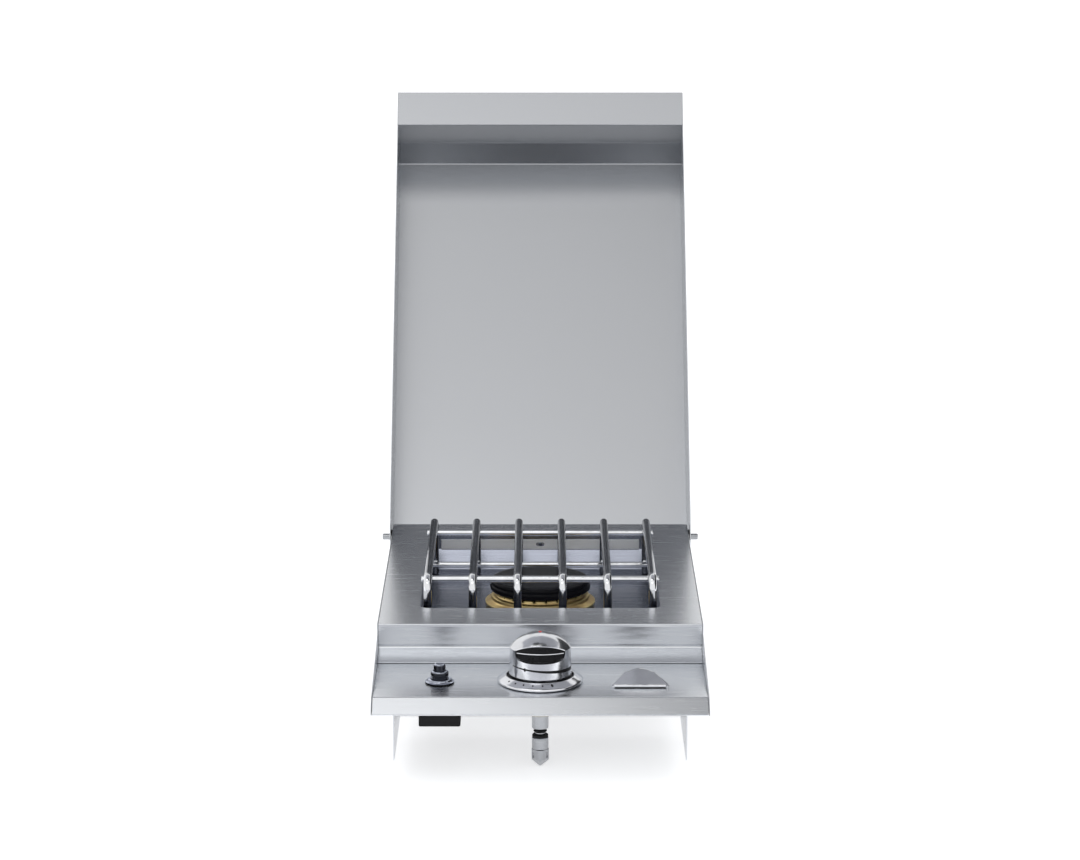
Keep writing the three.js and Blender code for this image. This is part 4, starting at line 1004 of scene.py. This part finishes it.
class SIDEBURNER_OT_gas_inlet(bpy.types.Operator):
    """Models the union, seals, ball neck, collar and nozzle of the gas inlet"""
    bl_idname = "sideburner.gas_inlet"
    bl_label = "Gas inlet"

    def execute(self, context):
        for node, suffix, slot, finish, profile in (
                ("inlet_union", "turned", "chrome", "satin_steel", [
                    (4, -36), (6.3, -36), (8.35, -34), (8.35, -20.8), (7.9, -20.3), (4, -20.3)]),
                ("upper_seal", "ring", "rubber", "rubber", [
                    (4, -38.3), (6.2, -38.3), (6.8, -37.7), (6.8, -36.9), (6.2, -36.3), (4, -36.3)]),
                ("swivel_neck", "ball", "chrome", "chrome", [
                    (3, -52.8), (3.7, -52.8), (3.7, -41.0), (4.4, -40.6), (5.0, -40.0), (5.1, -39.6),
                    (5.0, -39.1), (4.5, -38.7), (3.7, -38.6), (3.7, -33), (3, -33)]),
                ("lower_seal", "ring", "rubber", "rubber", [
                    (4, -43.5), (7.5, -43.5), (8.1, -42.9), (8.1, -41.6), (7.5, -40.9), (4, -40.9)]),
                ("inlet_collar", "turned", "chrome", "satin_steel", [
                    (4, -55.8), (7.9, -55.8), (8.35, -55.4), (8.35, -46.2), (8.1, -45.9), (8.1, -45.3),
                    (8.35, -45.0), (8.35, -44.3), (7.9, -43.8), (4, -43.8)])):
            piece = put(lathe(profile, 48, True), KNOB)
            dress(piece, f"{node}_{suffix}", "housing", finish, [node], smooth=40)
        nozzle = softened("inlet_nozzle", 0.25)
        dress(nozzle, "inlet_nozzle_milled", "housing", "satin_steel", ["inlet_nozzle"])
        return {"FINISHED"}


class SIDEBURNER_OT_hidden(bpy.types.Operator):
    """Finishes the plainer pieces inside and under the body, as softened copies, and winds the springs"""
    bl_idname = "sideburner.hidden"
    bl_label = "Inner pieces"

    plain = {
        "front_bulkhead": "zinc", "box_rear_panel": "zinc", "box_bottom": "zinc", "tube_bracket": "zinc",
        "left_hinge_nut": "satin_steel", "right_hinge_nut": "satin_steel",
        "left_valve_screw": "satin_steel", "right_valve_screw": "satin_steel",
        "mixing_tube": "cast_aluminium", "air_shutter": "zinc", "spark_ceramic": "ceramic",
        "spark_tip": "satin_steel", "ignition_lead": "lead_cover", "valve_body": "nickel",
        "valve_rotor": "brass", "valve_stem": "satin_steel", "injector": "brass",
        "spark_module": "black_plastic",
    }
    # Node, place, radius, lower and upper end, joint and its travel
    springs = (
        ("stem_spring", KNOB, 5.4, 14.3, 26.7, "knob_push", 3.0),
        ("igniter_spring", IGNITER, 4.6, 2.3, 19.7, "igniter_push", 4.0),
    )

    def execute(self, context):
        record = frame["record"]
        bodies = {node: body for body, nodes in record["behaviour"]["bodies"].items() for node in nodes}
        for node, finish in self.plain.items():
            width = 0.8 if node == "spark_module" else 0.2
            piece = softened(node, width, angle=35)
            dress(piece, f"{node}_finished", bodies[node], finish, [node], smooth=40)
        for node, place, radius, low, high, joint, travel in self.springs:
            spring = put(self.coil(radius, low, high), place)
            dress(spring, f"{node}_coil", bodies[node], "satin_steel", [node])
            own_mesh(spring)
        return {"FINISHED"}

    def coil(self, radius, low, high):
        """A round-wire compression spring between two heights."""
        wire, turns, steps = 0.5, 4, 24
        begin()
        bpy.ops.mesh.primitive_circle_add(
            vertices=10, radius=wire * MM, fill_type="NOTHING",
            location=(radius * MM, 0, (low + wire) * MM), rotation=(math.pi / 2, 0, 0))
        piece = settle(bpy.context.object)
        modify(piece, "SCREW", angle=math.tau * turns, screw_offset=(high - low - 2 * wire) * MM,
               steps=steps * turns, render_steps=steps * turns, use_smooth_shade=False)
        with editing(piece):
            bpy.ops.mesh.select_all(action="SELECT")
            bpy.ops.mesh.fill_holes(sides=0)
            mend()
        return piece


class SIDEBURNER_OT_stage(bpy.types.Operator):
    """Sets the floor, the lamps, the boards that reflections see and the camera"""
    bl_idname = "sideburner.stage"
    bl_label = "Stage"

    # Place, the way it faces, width and height, in metres, and tone
    down, up, leftward = (0, 0, -1), (0, 0, 1), (-1, -0.2, 0)
    boards = {
        "rear_left_board": ((-2.5, 2.9, 6), down, (5, 5), 0.6),
        "rear_right_board": ((2.5, 2.9, 6), down, (5, 5), 0.48),
        "right_front_board": ((2.67, -0.5, 6), down, (5, 1.7), 0.12),
        "low_board": ((0, -2.3, -0.072), up, (6, 4), 0.7),
        "dark_board_right": ((1.9, 1.3, 0.9), leftward, (4.2, 2.2), 0.04),
        "corner_board_left": ((-0.5, 0.36, 3), down, (0.76, 0.6), 0.01),
        "corner_board_right": ((0.45, 0.26, 3), down, (0.7, 0.42), 0.1),
        "corner_board_middle": ((0, 0.26, 3), down, (0.2, 0.42), 0.1),
    }

    def execute(self, context):
        settings = context.scene.sideburner_stage
        context.scene.view_settings.view_transform = "Standard"
        self.world(context, settings.fill)
        self.floor(settings.floor_height)
        power = settings.key_power
        self.lamp("key_lamp", (-1.8, -0.55, 6), (3.9, 1.6), power, (1, 0.995, 0.98))
        ledge = self.lamp("ledge_lamp", (-1.85, -4.1, 6), (4.2, 1.5), 2.2 * power, (1, 1, 1))
        ledge.visible_diffuse = False
        for name, values in self.boards.items():
            self.board(name, *values)
        self.camera(context)
        return {"FINISHED"}

    def background_rays(self, tree):
        """1 for rays that see the background: camera, mirror and glass."""
        path = tree.nodes.new("ShaderNodeLightPath")
        total = path.outputs["Is Camera Ray"]
        for name in ("Is Glossy Ray", "Is Transmission Ray"):
            adder = tree.nodes.new("ShaderNodeMath")
            adder.operation = "MAXIMUM"
            tree.links.new(total, adder.inputs[0])
            tree.links.new(path.outputs[name], adder.inputs[1])
            total = adder.outputs[0]
        return total

    def world(self, context, fill):
        """White where it is seen, softer where it lights."""
        world = bpy.data.worlds.new("studio")
        context.scene.world = world
        world.use_nodes = True
        tree = world.node_tree
        tree.nodes.clear()
        mix = tree.nodes.new("ShaderNodeMixShader")
        output = tree.nodes.new("ShaderNodeOutputWorld")
        tree.links.new(self.background_rays(tree), mix.inputs["Fac"])
        for slot, color, strength in ((1, (0.95, 0.97, 1.0, 1), fill), (2, (1, 1, 1, 1), 1.0)):
            light = tree.nodes.new("ShaderNodeBackground")
            light.inputs["Color"].default_value = color
            light.inputs["Strength"].default_value = strength
            tree.links.new(light.outputs["Background"], mix.inputs[slot])
        tree.links.new(mix.outputs["Shader"], output.inputs["Surface"])

    def paint(self, piece, name, color, rough):
        """Gives a stage piece its material, and returns the node tree and the shader."""
        material = bpy.data.materials.new(name)
        material.use_nodes = True
        shader = material.node_tree.nodes["Principled BSDF"]
        shader.inputs["Base Color"].default_value = color
        shader.inputs["Roughness"].default_value = rough
        piece.data.materials.append(material)
        return material.node_tree, shader

    def floor(self, height):
        """Pale floor that keeps the shadow and reads white round it."""
        begin()
        bpy.ops.mesh.primitive_plane_add(size=30, location=(0, 0, height))
        floor = bpy.context.object
        floor.name = "floor"
        tree, shader = self.paint(floor, "pale_floor", (0.8, 0.8, 0.8, 1), 0.9)
        shader.inputs["Emission Color"].default_value = (1, 1, 1, 1)
        lift = tree.nodes.new("ShaderNodeMath")
        lift.operation = "MULTIPLY"
        lift.inputs[1].default_value = 0.6
        tree.links.new(self.background_rays(tree), lift.inputs[0])
        tree.links.new(lift.outputs[0], shader.inputs["Emission Strength"])

    def lamp(self, name, place, size, power, color):
        """A soft area lamp that shines straight down."""
        data = bpy.data.lights.new(name, "AREA")
        data.shape = "RECTANGLE"
        data.size, data.size_y = size
        data.energy = power
        data.color = color
        lamp = bpy.data.objects.new(name, data)
        bpy.context.scene.collection.objects.link(lamp)
        lamp.location = place
        return lamp

    def board(self, name, place, facing, size, tone):
        """A board that only reflections see, as studios use for chrome."""
        begin()
        bpy.ops.mesh.primitive_plane_add(size=1, location=place)
        board = bpy.context.object
        board.name = name
        board.scale = (*size, 1)
        board.rotation_mode = "QUATERNION"
        board.rotation_quaternion = Vector(facing).to_track_quat("Z", "Y")
        self.paint(board, name, (tone, tone, tone * 1.05, 1), 1.0)
        board.visible_camera = False
        board.visible_diffuse = False
        board.visible_shadow = False
        board.visible_transmission = False

    def camera(self, context):
        """Camera at the photograph's place, with its downward pitch and framing."""
        pitch = math.radians(12.56)
        data = bpy.data.cameras.new("camera")
        data.sensor_fit = "HORIZONTAL"
        data.sensor_width = 36
        data.lens = 116.667
        data.clip_start, data.clip_end = 0.1, 60
        data.shift_x = -0.0002
        camera = bpy.data.objects.new("camera", data)
        context.scene.collection.objects.link(camera)
        camera.location = (0, -3.2865, 1.0162)
        camera.rotation_euler = (math.pi / 2 - pitch, 0, 0)
        context.scene.camera = camera


class SIDEBURNER_PT_panel(bpy.types.Panel):
    """Lists the settings and the steps"""
    bl_idname = "SIDEBURNER_PT_panel"
    bl_label = "Side burner"
    bl_space_type = "VIEW_3D"
    bl_region_type = "UI"
    bl_category = "Side burner"

    def draw(self, context):
        for name, group in SETTINGS.items():
            box = self.layout.box()
            for prop in group.__annotations__:
                box.prop(getattr(context.scene, name), prop)
        for step in STEPS:
            self.layout.operator(step.bl_idname)


SETTINGS = {
    "sideburner_sheet": SheetSettings,
    "sideburner_grate": GrateSettings,
    "sideburner_burner": BurnerSettings,
    "sideburner_knob": KnobSettings,
    "sideburner_stage": StageSettings,
}
STEPS = (
    SIDEBURNER_OT_finishes,
    SIDEBURNER_OT_body,
    SIDEBURNER_OT_lid,
    SIDEBURNER_OT_grate,
    SIDEBURNER_OT_burner,
    SIDEBURNER_OT_knob,
    SIDEBURNER_OT_igniter,
    SIDEBURNER_OT_badge,
    SIDEBURNER_OT_gas_inlet,
    SIDEBURNER_OT_hidden,
    SIDEBURNER_OT_stage,
)
CLASSES = (*SETTINGS.values(), *STEPS, SIDEBURNER_PT_panel)


def register():
    for item in CLASSES:
        bpy.utils.register_class(item)
    for name, group in SETTINGS.items():
        setattr(bpy.types.Scene, name, bpy.props.PointerProperty(type=group))


def unregister():
    for name in SETTINGS:
        delattr(bpy.types.Scene, name)
    for item in reversed(CLASSES):
        bpy.utils.unregister_class(item)


def main():
    register()
    for step in STEPS:
        area, name = step.bl_idname.split(".")
        getattr(getattr(bpy.ops, area), name)()
    begin()


if __name__ == "__main__":
    main()
